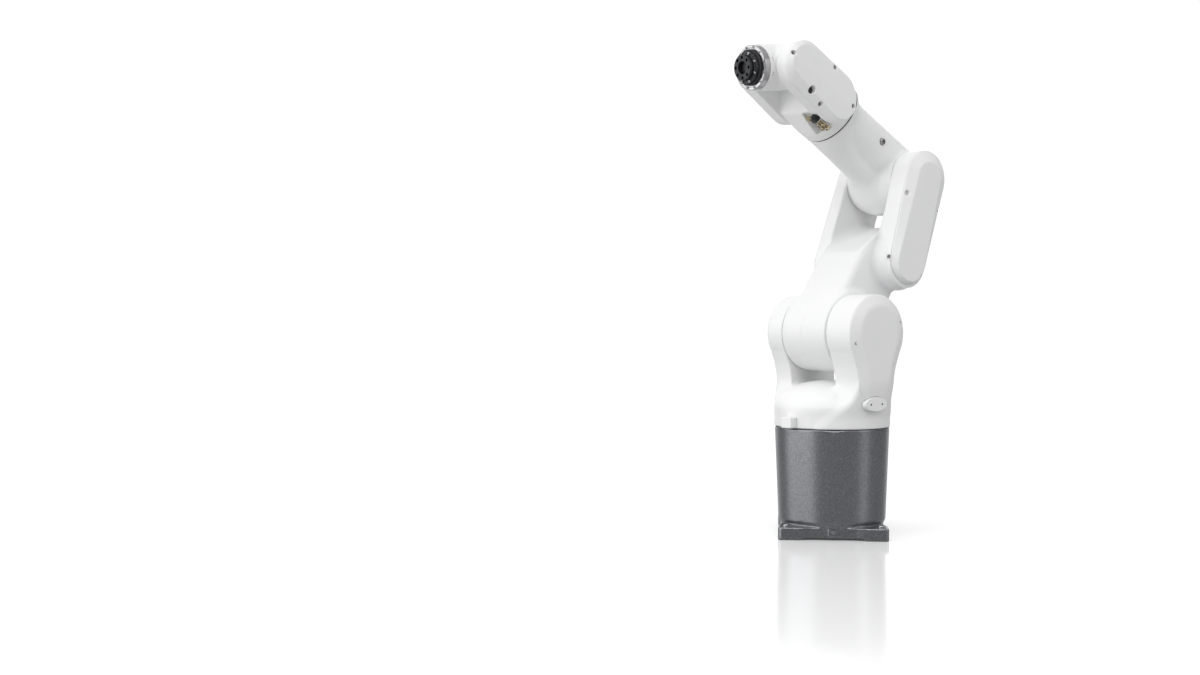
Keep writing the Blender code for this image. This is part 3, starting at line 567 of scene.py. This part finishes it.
def base_field(x, y, z):
    """Square foot with shallow bays, conical drum and rear connector box."""
    foot = soft_box(x, y, FOOT_HALF, FOOT_HALF, 7.0)
    for along, out in ((x, -y), (y, x), (y, -x)):
        slope = (np.abs(along) - BAY_HALF + (FOOT_HALF - out) * BAY_RUN) / BAY_RUN_LENGTH
        foot = cut(foot, np.maximum(FOOT_HALF - BAY_DEPTH - out, slope), 1.5)
    foot = meet(foot, slab(z, 0, FOOT_TOP), 1.2)
    flare_low, flare_high = TOE_FLARE
    toe = TOE_R + np.clip(z - flare_low, 0, flare_high - flare_low) * 0.5
    radius = toe + np.maximum(z - flare_high, 0) * DRUM_GAIN / DRUM_RISE
    drum = meet(np.hypot(x, y) - radius, slab(z, 1, DRUM_TOP), 1.2)
    rear = meet(soft_box(x, y - 66, 64, 46, 10), slab(z, 1, REAR_TOP), 4)
    body = join(join(foot, drum, 2.5), rear, 5)
    bay = meet(soft_box(x, z - PANEL_Z, *PANEL_HALF, 6), 105.7 - y, 0.6)
    body = cut(body, bay, 1.2)
    relief = np.minimum(np.maximum(np.abs(x), -FOOT_HALF - 9 - y), np.abs(y)) - 48.6
    body = cut(body, np.maximum(relief, z - 3), 1.5)
    pad = meet(soft_box(x, z - 12.5, 8, 6.5, 1), slab(y, -FOOT_HALF + 3.4, -80), 0.8)
    body = join(body, pad, 0.8)
    for sx in (-FOOT_SCREW, FOOT_SCREW):
        for sy in (-FOOT_SCREW, FOOT_SCREW):
            hole = disc(x, y, (sx, sy), 7.6)
            body = cut(body, meet(hole, 18.8 - z, 0.5), 0.8)
    return meet(body, -z, 0.4)


def make_base():
    """Base casting with its foot washers and screws, earth screw and panel screws."""
    casting(
        "base_casting", BASE, base_field, (-90, -90, 0), (90, 114, 178), 1.7, GREY, ["base_housing"]
    )
    washer = [(3.0, 18.9), (6.6, 18.9), (6.6, 19.8), (6.3, 20.1), (3.0, 20.1)]
    for i, spot in enumerate(FOOT_SCREWS, 1):
        turned_part(f"foot_washer_{i}", BASE, "Z", washer, spot, STEEL, 28)
        item = screw(f"foot_screw_{i}", BASE, "Z", 20.2, spot, 4.6, 3.6, STEEL)
        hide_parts(f"foot_bolt_{i}")
    earth = screw("earth_screw", BASE, "Y", -85.0, (13.0, 0.0), 3.6, 2.4, STEEL, -1)
    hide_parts("ground_screw")
    for i, (x, z) in enumerate(PANEL_SCREWS, 1):
        screw(f"panel_screw_{i}", BASE, "Y", 110.0, (z, x), 3.0, 1.8, STEEL)


# ----------------------------------------------------------------- column

SHOULDER = 330.0
BULB_R = 61.5
COLUMN_LOW = 177.0
RIGHT_EAR_Y = (46.5, 106.1)
LEFT_EAR_Y = (54.1, 93.4)
COLUMN_SEAM = (97.85, 98.25)
BOWL_R = 94
BOWL_RISE = (196, 56)
BOWL_POWER = 2.3


def ear_outline(rear_wall=False):
    """Side view of a column ear: bulb on the shoulder axis, waist and flared foot.

    With a rear wall, the back edge runs straight down from the bulb instead of a waist.
    """
    points = []
    for degrees in range(-30, 181 if rear_wall else 211, 5):
        angle = math.radians(degrees)
        points.append((BULB_R * math.cos(angle), SHOULDER + BULB_R * math.sin(angle)))
    side = smooth_profile((177, 188, 202, 222, 246, 272, 299.2), (80, 74, 62, 47, 40, 43.5, 53.3))
    heights = np.linspace(296, 176, 41)
    if rear_wall:
        left = [(-BULB_R, 246), (-66, 200), (-80, 176)]
    else:
        left = [(-float(side(h)), h) for h in heights]
    right = [(float(side(h)), h) for h in heights[::-1]]
    return points + left + right


RIGHT_EAR = outline_field(ear_outline())
LEFT_EAR = outline_field(ear_outline(True))
PORT_CAP = (5.0, 217.0)
BOWL_WIDTH = smooth_profile(
    (170, 178.5, 196, 212, 232, 252, 280, 300, 430), (94, 94, 94.5, 98, 104, 112, 124, 130, 130)
)


def column_field(x, y, z):
    """Round bowl that splits into two ears round the shoulder axis."""
    radius = np.hypot(x, y)
    start, rise = BOWL_RISE
    across, along = radius / BOWL_R, np.maximum(z - start, 0) / rise
    bowl = ((across**BOWL_POWER + along**BOWL_POWER) ** (1 / BOWL_POWER) - 1) * 70
    right = chamfered(RIGHT_EAR(x, z), y, *RIGHT_EAR_Y, 17, 7.0, 1.5)
    left = chamfered(LEFT_EAR(x, z), -y, *LEFT_EAR_Y, 5, 5, 3.0)
    body = join(bowl, np.minimum(left, right), 9)
    body = meet(body, radius - BOWL_WIDTH(z), 7)
    body = meet(body, COLUMN_LOW - z, 1.5)
    notch = np.maximum(np.abs(y) - 11.3, np.maximum(90.7 - x, z - 195.3))
    return cut(body, notch, 0.5)


def oval(x, z, centre, half_x, half_z):
    """Inside an ellipse, close to the distance from its edge."""
    u, v = (x - centre[0]) / half_x, (z - centre[1]) / half_z
    reach = np.hypot(u, v)
    slope = np.hypot(u / half_x, v / half_z) / np.maximum(reach, 1e-6)
    return (reach - 1) / np.maximum(slope, 1e-6)


def column_side(x, y, z):
    """The column with the seat of the oval port cap cut in."""
    seat = oval(x, z, PORT_CAP, 25.4, 12.0)
    return cut(column_field(x, y, z), np.maximum(seat, 94.2 - y), 0.6)


def port_cap_field(x, y, z):
    """Oval cap with a rounded rim."""
    return meet(oval(x, z, PORT_CAP, 25.0, 11.6), slab(y, 94.5, 103.5), 1.3)


def make_column():
    """Column casting, its two covers, stop, port cap and screws."""
    low, high = (-98, -100, 177), (98, 107, 392)
    casting_end, cover_start = COLUMN_SEAM
    casting(
        "column_shell", COLUMN, column_side, low, high, 1.8, WHITE, ["column_casting"],
        [((0, casting_end, 0), (0, 1, 0))],
    )
    casting(
        "column_right_side", COLUMN, column_side, (-98, 92, 177), high, 1.5, WHITE,
        ["column_right_cover"], [((0, cover_start, 0), (0, -1, 0))],
    )
    turned_part(
        "column_left_disc", COLUMN, "Y",
        [(52, -93.8), (52, -95.2), (51.4, -96.4), (46.6, -98.6), (45, -99), (4, -99)],
        (SHOULDER, 0), WHITE, 128, ["column_left_cover"],
    )
    casting(
        "turn_stop", COLUMN,
        lambda x, y, z: meet(soft_box(y, z - 186.3, 11, 8.7, 0.8), slab(x, 91, 104), 1.0),
        (90, -12, 176), (105, 12, 196), 0.8, WHITE, ["a1_stop"],
    )
    casting(
        "side_port_cap", COLUMN, port_cap_field, (-21, 94, 205), (31, 104, 229), 0.7, WHITE,
        ["port_cap"],
    )
    for i, x in enumerate((-12.5, 12.5), 1):
        spot = (PORT_CAP[1], PORT_CAP[0] + x)
        screw(f"port_cap_screw_{i}", COLUMN, "Y", 103.4, spot, 1.6, 0.4, DARK)
    for i, (x, z) in enumerate(((50.6, 314.7), (-49.6, 346.6)), 1):
        screw(f"column_cover_screw_{i}", COLUMN, "Y", 100.6, (z, x), 2.9, 2.2, STEEL)


# -------------------------------------------------------------- upper arm

ELBOW = (0.0, 290.0)
DRIVE = (-29.0, 147.0)
FORK_R = 46
FORK_INNER = (-54.3, 42.4)
SWING_R = 66
BARREL_R = 62
BARREL_Y = (-53.0, 45.7)
COVER_RIM, COVER_TOP = 77.8, 86.4
RIGHT_SEAM = (75.9, 76.3)
LEFT_SEAM = (-77.95, -78.35)
SEALS = (
    ("shoulder_seal_right", 60.0, 45.5, 46.7), ("shoulder_seal_left", 61.3, -54.3, -52.8),
)
LEFT_FOOT = (-20.0, 138.0)
SWINGS = (((66.0, 262.0), 92.0), ((74.0, 159.6), 44.0), ((-90.0, 284.0), 62.5))
ARM_SCREWS = ((30, 243.5), (13.5, 134), (-50.5, 258), (-63, 139))


def arm_right_plate(x, y, z):
    """Belt cover: a long plate whose sides slope up to a flat."""
    outer = taper(x, z, ELBOW, FORK_R, (-27.8, 153.5), 41.5)
    inner = taper(x, z, ELBOW, 27, DRIVE, 32)
    plate = bevelled(outer, inner, y, FORK_INNER[1], COVER_RIM, COVER_TOP)
    for spot in ARM_SCREWS:
        plate = cut(plate, np.maximum(disc(x, z, spot, 4.2), 74 - y), 0.5)
    return plate


def arm_left_plate(x, y, z):
    """Left ear of the fork with its flat cover."""
    outline = taper(x, z, ELBOW, 45.5, LEFT_FOOT, 46.5)
    return chamfered(outline, -y, 30, 84, 6, 5, 2.5)


def arm_field(x, y, z):
    """Shoulder barrel, stem, fork ears and motor bulge, blended as one casting."""
    step = np.clip((y + 8) / 2, 0, 1)
    barrel = np.hypot(x, z) - BARREL_R - 2 * step * step * (3 - 2 * step)
    barrel = meet(barrel, slab(y, *BARREL_Y), 0.8)
    stem = meet(taper(x, z, (0, 0), 58, (-10, 200), 46), slab(y, -52, 44), 13)
    bulge = meet(disc(x, z, DRIVE, FORK_R), slab(y, 0, 70), 15)
    body = join(barrel, stem, 12)
    body = join(body, bulge, 6)
    body = join(body, arm_left_plate(x, y, z), 4)
    right_ear = meet(taper(x, z, ELBOW, FORK_R, DRIVE, 42), slab(y, FORK_INNER[1], 80), 2)
    body = join(body, right_ear, 4)
    swing = None
    for far, radius in SWINGS:
        sweep = taper(x, z, ELBOW, SWING_R, far, radius)
        swing = sweep if swing is None else join(swing, sweep, 10)
    swing = meet(swing, slab(y, *FORK_INNER), 18)
    body = cut(body, swing, 3)
    return meet(body, slab(y, -84, 86), 0.5)


def make_arm():
    """Upper arm casting, belt cover with screws, left cover."""
    low, high = (-86, -86, -66), (64, 88, 338)
    casting(
        "upper_arm_shell", ARM, arm_field, low, high, 1.9, WHITE, ["upper_arm_casting"],
        [((0, RIGHT_SEAM[0], 0), (0, 1, 0)), ((0, LEFT_SEAM[0], 0), (0, -1, 0))],
    )
    casting(
        "belt_cover", ARM, arm_right_plate, (-76, 72, 103), (48, 87, 338), 1.0, WHITE,
        ["upper_arm_right_cover"], [((0, RIGHT_SEAM[1], 0), (0, -1, 0))],
    )
    casting(
        "elbow_side_cover", ARM, arm_left_plate, (-70, -85, 90), (48, -72, 338), 1.3, WHITE,
        ["upper_arm_left_cover"], [((0, LEFT_SEAM[1], 0), (0, 1, 0))],
    )
    for name, radius, near, far in SEALS:
        ring = [(45, near), (radius, near), (radius, far), (45, far)]
        turned_part(name, ARM, "Y", ring, (0, 0), RUBBER_AND_PAINTED_SHADE, 128)
    for i, (x, z) in enumerate(ARM_SCREWS, 1):
        item = screw(f"belt_cover_screw_{i}", ARM, "Y", 73.6, (z, x), 3.5, 2.4, STEEL)
        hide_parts(f"upper_arm_screw_{i}")


# ---------------------------------------------------------------- forearm

ROLL_Z = 20.0
WRIST_FACE = 175.9
PLUG_X = 86
HUB = smooth_profile((-50, -36, -16, 8, 24, 36, 42), (51, 55.5, 57, 54, 49, 46, 45.5))
TUBE = smooth_profile(
    (-46, -41, -30, -18, -4, 60, 120, 140, 150, 160, 170, 177),
    (24, 30, 37, 40.2, 41, 41.4, 41.6, 42, 43, 45.5, 52, 55),
)
LOBE_STATIONS = (-10, 20, 40, 58, 80, 110, 130, 150, 165, 177)
LOBE_Y = smooth_profile(LOBE_STATIONS, (-12, -12, -11, -10, -8.8, -6, -3.3, -1, 0, 0))
LOBE_Z = smooth_profile(LOBE_STATIONS, (-26, -22, -17, -13, -11.4, -10.5, -8, -2, 9, 20))
LOBE_R = smooth_profile(LOBE_STATIONS, (33, 31.5, 28.8, 27, 27.5, 28.5, 31, 37, 46, 54.5))


def forearm_field(x, y, z):
    """Elbow hub, tube round the roll axis and the lobe that runs under it."""
    roll = z - ROLL_Z
    tube = meet(np.hypot(y, roll) - TUBE(x), slab(x, -46, WRIST_FACE), 0.7)
    lobe = np.hypot(y - LOBE_Y(x), z - LOBE_Z(x)) - LOBE_R(x)
    lobe = meet(lobe, slab(x, -8, WRIST_FACE), 0.7)
    hub = meet(np.hypot(x, z) - HUB(y), slab(y, -50, 41.6), 2.0)
    body = join(tube, lobe, 4)
    body = join(body, hub, 7)
    body = meet(body, x - WRIST_FACE, 0.7)
    body = cut(body, np.maximum(disc(x, z, (PLUG_X, ROLL_Z), 5.6), 39.5 - y), 0.6)
    return cut(body, np.maximum(np.hypot(y, roll) - 24.4, x + 46.2), 0.6)


def make_forearm():
    """Forearm casting, a dark ring of painted shade in the wrist seam, rear cap, elbow cover and plug."""
    casting(
        "forearm_shell", FOREARM, forearm_field, (-62, -60, -62), (178, 60, 78), 1.6, WHITE,
        ["forearm_casting"],
    )
    # Painted shade: a matte black ring fills the gap between forearm and wrist so that the seam reads dark.
    turned_part(
        "wrist_seam_painted_shade", FOREARM, "X", [(40, 175.4), (54.2, 175.4), (54.2, 177.2), (40, 177.2)],
        (0, ROLL_Z), RUBBER_AND_PAINTED_SHADE, 96,
    )
    turned_part(
        "rear_cap", FOREARM, "X",
        [(24, -46.4), (24, -48.6), (23.2, -49.7), (21.5, -50.3), (4, -50.5)],
        (0, ROLL_Z), WHITE, 96, ["forearm_rear_cap"],
    )
    turned_part(
        "elbow_side_disc", FOREARM, "Y",
        [(50, -50.4), (50, -52.2), (49.2, -53.1), (47.6, -53.5), (6, -53.6)], (0, 0), WHITE, 128,
        ["elbow_cover"],
    )
    plug = screw("tube_plug", FOREARM, "Y", 39.7, (ROLL_Z, PLUG_X), 5.2, 4.4, STEEL)
    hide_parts("forearm_plug")


# ------------------------------------------------------------------ wrist

BEND_X = 310.0
EAR_INNER, COVER_EDGE, EAR_OUTER = 37, 61.8, 70
WRIST_SEAM = (59.85, 60.25)
DEEP_HOLE = (281, -27)
PORT_SEAT = -42.6
COVER_BACK = (227.0, -4.0)
WRIST_SCREWS = ((341.5, 0), (256.5, 31.5), (194, 0), (253, -34.5))
ROOT_STATIONS = (177, 192, 214, 240, 268, 300)
ROOT_HALF = smooth_profile(ROOT_STATIONS, (55, 55, 54, 56, 58, 58))
ROOT_TOP = smooth_profile(ROOT_STATIONS, (55, 52, 42, 36, 33, 31))
ROOT_LOW = smooth_profile(ROOT_STATIONS, (-55, -55, -50, -43, -36, -32))
ROOT_POWER = smooth_profile(ROOT_STATIONS, (2.0, 2.1, 2.6, 3.2, 3.6, 3.8))


def wrist_ear(x, z):
    """Side view of a wrist ear and its cover."""
    return taper(x, z, (BEND_X, 0), 38, COVER_BACK, 41)


def wrist_field(x, y, z):
    """Yoke: round root, two ears with a throat between them, port bay and side holes."""
    half, top, low, power = ROOT_HALF(x), ROOT_TOP(x), ROOT_LOW(x), ROOT_POWER(x)
    rise = (top - low) / 2
    across, along = np.abs(y) / half, np.abs(z - (top + low) / 2) / rise
    root = ((across**power + along**power) ** (1 / power) - 1) * np.minimum(half, rise)
    root = meet(root, slab(x, 177.8, 300), 0.7)
    ear = wrist_ear(x, z)
    side = np.abs(y)
    flat = taper(x, z, (320, -2), 20.5, (216, -5.5), 28)
    ears = bevelled(ear, flat, side, EAR_INNER, COVER_EDGE, EAR_OUTER, 0.5)
    ears = meet(ears, (side - EAR_OUTER + 0.15 * np.maximum(z + 5, 0)) * 0.99, 0.4)
    body = join(root, ears, 2.5)
    v_shape = np.maximum(240 - x, ((265 - x) * 41.5 - 24 * np.abs(z)) / 47.9)
    body = cut(body, meet(v_shape, side - EAR_INNER, 1.0), 2.0)
    bay = meet(soft_box(x - 217, y - 34, 23, 18, 3), z + 39, 1.5)
    body = cut(body, bay, 1.0)
    deep = np.maximum(disc(x, z, DEEP_HOLE, 6.3), 46 - y)
    body = cut(body, deep, 0.8)
    for spot in WRIST_SCREWS:
        body = cut(body, np.maximum(disc(x, z, spot, 3.8), 59 - side), 0.5)
    return body


def make_wrist():
    """Wrist casting, side covers, port bay fittings and screws."""
    low, high = (177, -71, -58), (350, 71, 58)
    casting_end, cover_start = WRIST_SEAM
    casting(
        "wrist_shell", WRIST, wrist_field, low, high, 1.5, WHITE, ["wrist_casting"],
        [((0, casting_end, 0), (0, 1, 0)), ((0, -casting_end, 0), (0, -1, 0))],
    )
    casting(
        "wrist_right_side", WRIST, wrist_field, (188, 56, -42), high, 1.1, WHITE,
        ["wrist_right_cover"], [((0, cover_start, 0), (0, -1, 0))],
    )
    casting(
        "wrist_left_side", WRIST, wrist_field, (188, -71, -42), (350, -56, 42), 1.1, WHITE,
        ["wrist_left_cover"], [((0, -cover_start, 0), (0, 1, 0))],
    )
    for side, out in (("right", 1), ("left", -1)):
        for i, (x, z) in enumerate(WRIST_SCREWS, 1):
            name = f"wrist_{side}_screw_{i}"
            screw(name, WRIST, "Y", out * 60.4, (z, x), 3.1, 2.4, STEEL, out)
    make_port_fittings(PORT_SEAT)


def make_port_fittings(seat):
    """Four air ports, the tool connector with its nut, and a dark disc of painted shade as the deep hole's floor.
    """
    for i, (x, y) in enumerate(((203, 34), (203, 44), (213, 34), (213, 44)), 1):
        profile = [
            (3.9, seat + 0.4), (3.9, seat - 1.6), (3.4, seat - 2.0), (3.4, seat - 5.8),
            (2.9, seat - 6.6), (1.9, seat - 6.8), (1.7, seat - 3.0), (0.2, seat - 3.0),
        ]
        item = turned_part(f"air_port_{i}", WRIST, "Z", profile, (x, y), BRASS, 32)
    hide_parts("air_ports")  # the four ports are one node
    plug = [
        (7.0, seat + 0.3), (7.0, seat - 3.6), (6.4, seat - 4.2), (5.4, seat - 4.4),
        (5.4, seat - 8.6), (4.6, seat - 9.3), (0.2, seat - 9.4),
    ]
    turned_part("tool_connector", WRIST, "Z", plug, (230, 40), DARK, 40, ["wrist_connector"])
    nut = [
        (5.4, seat + 0.3), (5.4, seat - 2.8), (4.4, seat - 3.4), (4.4, seat - 6.0),
        (0.2, seat - 6.0),
    ]
    turned_part("tool_connector_nut", WRIST, "Z", nut, (229, 24), BRASS, 6)
    # Painted shade: a matte black disc stands as the floor of the deep hole so that the hole reads dark.
    turned_part(
        "deep_hole_painted_shade", WRIST, "Y", [(0.2, 46.1), (6.1, 46.1), (6.1, 62), (0.2, 62)],
        DEEP_HOLE[::-1], RUBBER_AND_PAINTED_SHADE, 32,
    )


# ------------------------------------------------------ knuckle and flange

KNUCKLE_R = 36.5
KNUCKLE_HALF = 36.2
# Spots of the knuckle's small side holes, drawn as dark discs of painted shade.
PAINTED_HOLE_SPOTS = ((41.5, 13), (41.5, 9.5), (41.5, -9.5), (41.5, -13))
FLANGE_R = 20
HOLE_CIRCLE_R = 15.75
FLANGE_HOLES = 8


def knuckle_field(x, y, z):
    """Barrel on the bend axis with a round nose towards the flange."""
    barrel = meet(np.hypot(x, z) - KNUCKLE_R, slab(y, -KNUCKLE_HALF, KNUCKLE_HALF), 2.0)
    nose = meet(np.hypot(y, z) - KNUCKLE_R, slab(x, 0, 46), 0.8)
    return meet(join(barrel, nose, 3), np.abs(y) - 36.3, 0.6)


def adapter_field(x, y, z):
    """Stepped gear output with a scalloped rim."""
    angle = np.arctan2(z, y)
    radius = np.hypot(y, z)
    rim = meet(radius - 25.6 - 0.5 * np.cos(8 * angle), slab(x, -12.6, -7.6), 0.6)
    neck = meet(radius - 21.6, slab(x, -16.6, -7.0), 0.5)
    return join(rim, neck, 0.8)


def flange_field(x, y, z):
    """Tool flange with eight plain screw holes and a centring bore."""
    body = meet(np.hypot(y, z) - FLANGE_R, slab(x, -6.9, 0), 0.7)
    body = cut(body, np.hypot(y, z) - 10, 0.6)
    for i in range(FLANGE_HOLES):
        angle = math.radians(45 * i)
        spot = (HOLE_CIRCLE_R * math.cos(angle), HOLE_CIRCLE_R * math.sin(angle))
        body = cut(body, disc(y, z, spot, 2.4), 0.35)
    return body


def around(count, radius, start):
    """Numbered, evenly spaced points on a circle, from a start angle in degrees."""
    for i in range(count):
        angle = math.radians(start + 360 * i / count)
        yield i + 1, (radius * math.sin(angle), radius * math.cos(angle))


def make_knuckle():
    """Bending head whose small side holes are dark dots of painted shade, its steel ring with screws, and the
    seal.
    """
    casting(
        "knuckle_shell", KNUCKLE, knuckle_field, (-38, -38, -38), (47, 38, 38), 1.1, WHITE,
        ["knuckle_casting", "knuckle_plate"],
    )
    turned_part(
        "gear_ring", KNUCKLE, "X",
        [(24, 46.3), (34.6, 46.3), (35, 46.7), (35, 56.9), (34.2, 57.7), (30.6, 58), (30, 57.4),
         (29.2, 57.4), (24, 57.4)],
        (0, 0), CHROME, 128, ["steel_ring"],
    )
    turned_part(
        "shaft_seal", KNUCKLE, "X",
        [(22.8, 57.6), (28.4, 57.6), (28.4, 60.6), (27.6, 61.6), (25.8, 62), (22.8, 61.4)],
        (0, 0), RUBBER_AND_PAINTED_SHADE, 96, ["flange_seal"],
    )
    for i, spot in around(12, 32.2, 15):
        screw(f"gear_ring_screw_{i}", KNUCKLE, "X", 57.6, spot, 1.8, 1.7, STEEL)
    # Painted shade: each side hole is a thin matte black disc on the barrel, not a cut hole.
    for name, side in (("left", -1), ("right", 1)):
        for i, (x, z) in enumerate(PAINTED_HOLE_SPOTS, 1):
            drop = math.sqrt(KNUCKLE_R**2 - z * z)
            turned_part(
                f"knuckle_{name}_hole_{i}", KNUCKLE, "Y",
                [(0.8, side * (drop - 0.6)), (0.8, side * (drop + 0.12))], (z, x), RUBBER_AND_PAINTED_SHADE, 16,
            )


def make_flange():
    """Gear output adapter with its screws, and the tool flange."""
    casting(
        "gear_output", FLANGE, adapter_field, (-17, -27, -27), (-6, 27, 27), 0.7, DARK,
        ["flange_adapter"],
    )
    casting(
        "tool_plate", FLANGE, flange_field, (-7, -20, -20), (0, 20, 20), 0.6, DARK, ["tool_flange"]
    )
    for i, spot in around(8, 23.0, 22.5):
        screw(f"gear_output_screw_{i}", FLANGE, "X", -7.7, spot, 2.1, 2.4, STEEL)


make_base()
make_column()
make_arm()
make_forearm()
make_wrist()
make_knuckle()
make_flange()


# ------------------------------------------------ floor, light and camera

def stage_material():
    """White floor with a faint mirror image, as on glossy board."""
    material = bpy.data.materials.new("studio_floor")
    material.use_nodes = True
    tree = material.node_tree
    shader = tree.nodes["Principled BSDF"]
    seen = node(tree, "ShaderNodeLightPath").outputs["Is Camera Ray"]
    tree.links.new(
        ramp(tree, seen, ((0.0, (0.42, 0.42, 0.42)), (1.0, (0.98, 0.98, 0.98)))),
        shader.inputs["Base Color"],
    )
    shader.inputs["Roughness"].default_value = 0.12
    shader.inputs["Specular IOR Level"].default_value = 0.35
    shader.inputs["Emission Color"].default_value = (1, 1, 1, 1)
    shader.inputs["Emission Strength"].default_value = 0.05
    return material


def make_floor():
    """Large flat floor under the base."""
    size = 30.0
    mesh = bpy.data.meshes.new("floor")
    mesh.from_pydata(
        [(-size, -size, 0), (size, -size, 0), (size, size, 0), (-size, size, 0)], [], [(0, 1, 2, 3)]
    )
    mesh.materials.append(stage_material())
    floor = bpy.data.objects.new("floor", mesh)
    bpy.context.scene.collection.objects.link(floor)


def area_light(name, location, target, size, power):
    """Softbox that faces a target."""
    data = bpy.data.lights.new(name, "AREA")
    data.shape = "RECTANGLE"
    data.size, data.size_y = size
    data.energy = power
    lamp = bpy.data.objects.new(name, data)
    bpy.context.scene.collection.objects.link(lamp)
    lamp.location = location
    aim = Vector(target) - Vector(location)
    lamp.rotation_euler = aim.to_track_quat("-Z", "Y").to_euler()


def world_band(tree, source, start, end, low, high):
    """Smooth step of the sky's strength along one direction."""
    item = node(tree, "ShaderNodeMapRange", interpolation_type="SMOOTHSTEP")
    for name, value in (("From Min", start), ("From Max", end), ("To Min", low), ("To Max", high)):
        item.inputs[name].default_value = value
    tree.links.new(source, item.inputs["Value"])
    return item.outputs["Result"]


def make_light():
    """Soft white surroundings, whiter behind the arm, with a key light at the left."""
    world = bpy.data.worlds.new("studio")
    bpy.context.scene.world = world
    world.use_nodes = True
    tree = world.node_tree
    place = node(tree, "ShaderNodeTexCoord")
    parts = node(tree, "ShaderNodeSeparateXYZ")
    tree.links.new(place.outputs["Generated"], parts.inputs["Vector"])
    fill = world_band(tree, parts.outputs["Z"], 0.0, 0.75, 0.12, 0.68)
    back = world_band(tree, parts.outputs["Y"], 0.76, 0.86, 0.0, 0.92)
    total = node(tree, "ShaderNodeMath", operation="ADD")
    tree.links.new(fill, total.inputs[0])
    tree.links.new(back, total.inputs[1])
    tree.links.new(total.outputs["Value"], tree.nodes["Background"].inputs["Strength"])
    tree.nodes["Background"].inputs["Color"].default_value = (1, 1, 1, 1)
    centre = (0, 0, 0.45)
    area_light("key", (-3.2, -1.1, 0.95), centre, (4.6, 2.6), 70)
    area_light("right", (1.9, -0.8, 1.0), centre, (0.7, 1.8), 7)
    area_light("front", (0.2, -2.3, 1.9), (0, 0, 0.7), (1.2, 0.8), 11)
    data = bpy.data.lights.new("top", "SUN")
    data.energy = 0.8
    data.angle = math.radians(60)
    lamp = bpy.data.objects.new("top", data)
    bpy.context.scene.collection.objects.link(lamp)
    lamp.rotation_euler = (math.radians(27), math.radians(-13), 0)
    bpy.context.scene.view_settings.view_transform = "Standard"


def make_camera():
    """Camera in front of the arm at shoulder height, level within a degree."""
    data = bpy.data.cameras.new("camera")
    data.sensor_width = 36
    data.lens = 45.74
    camera = bpy.data.objects.new("camera", data)
    bpy.context.scene.collection.objects.link(camera)
    camera.location = (-0.0883, -2.5291, 0.3637)
    camera.rotation_euler = (math.radians(90 - 0.961), 0, math.radians(6.656))
    bpy.context.scene.camera = camera


make_floor()
make_light()
make_camera()
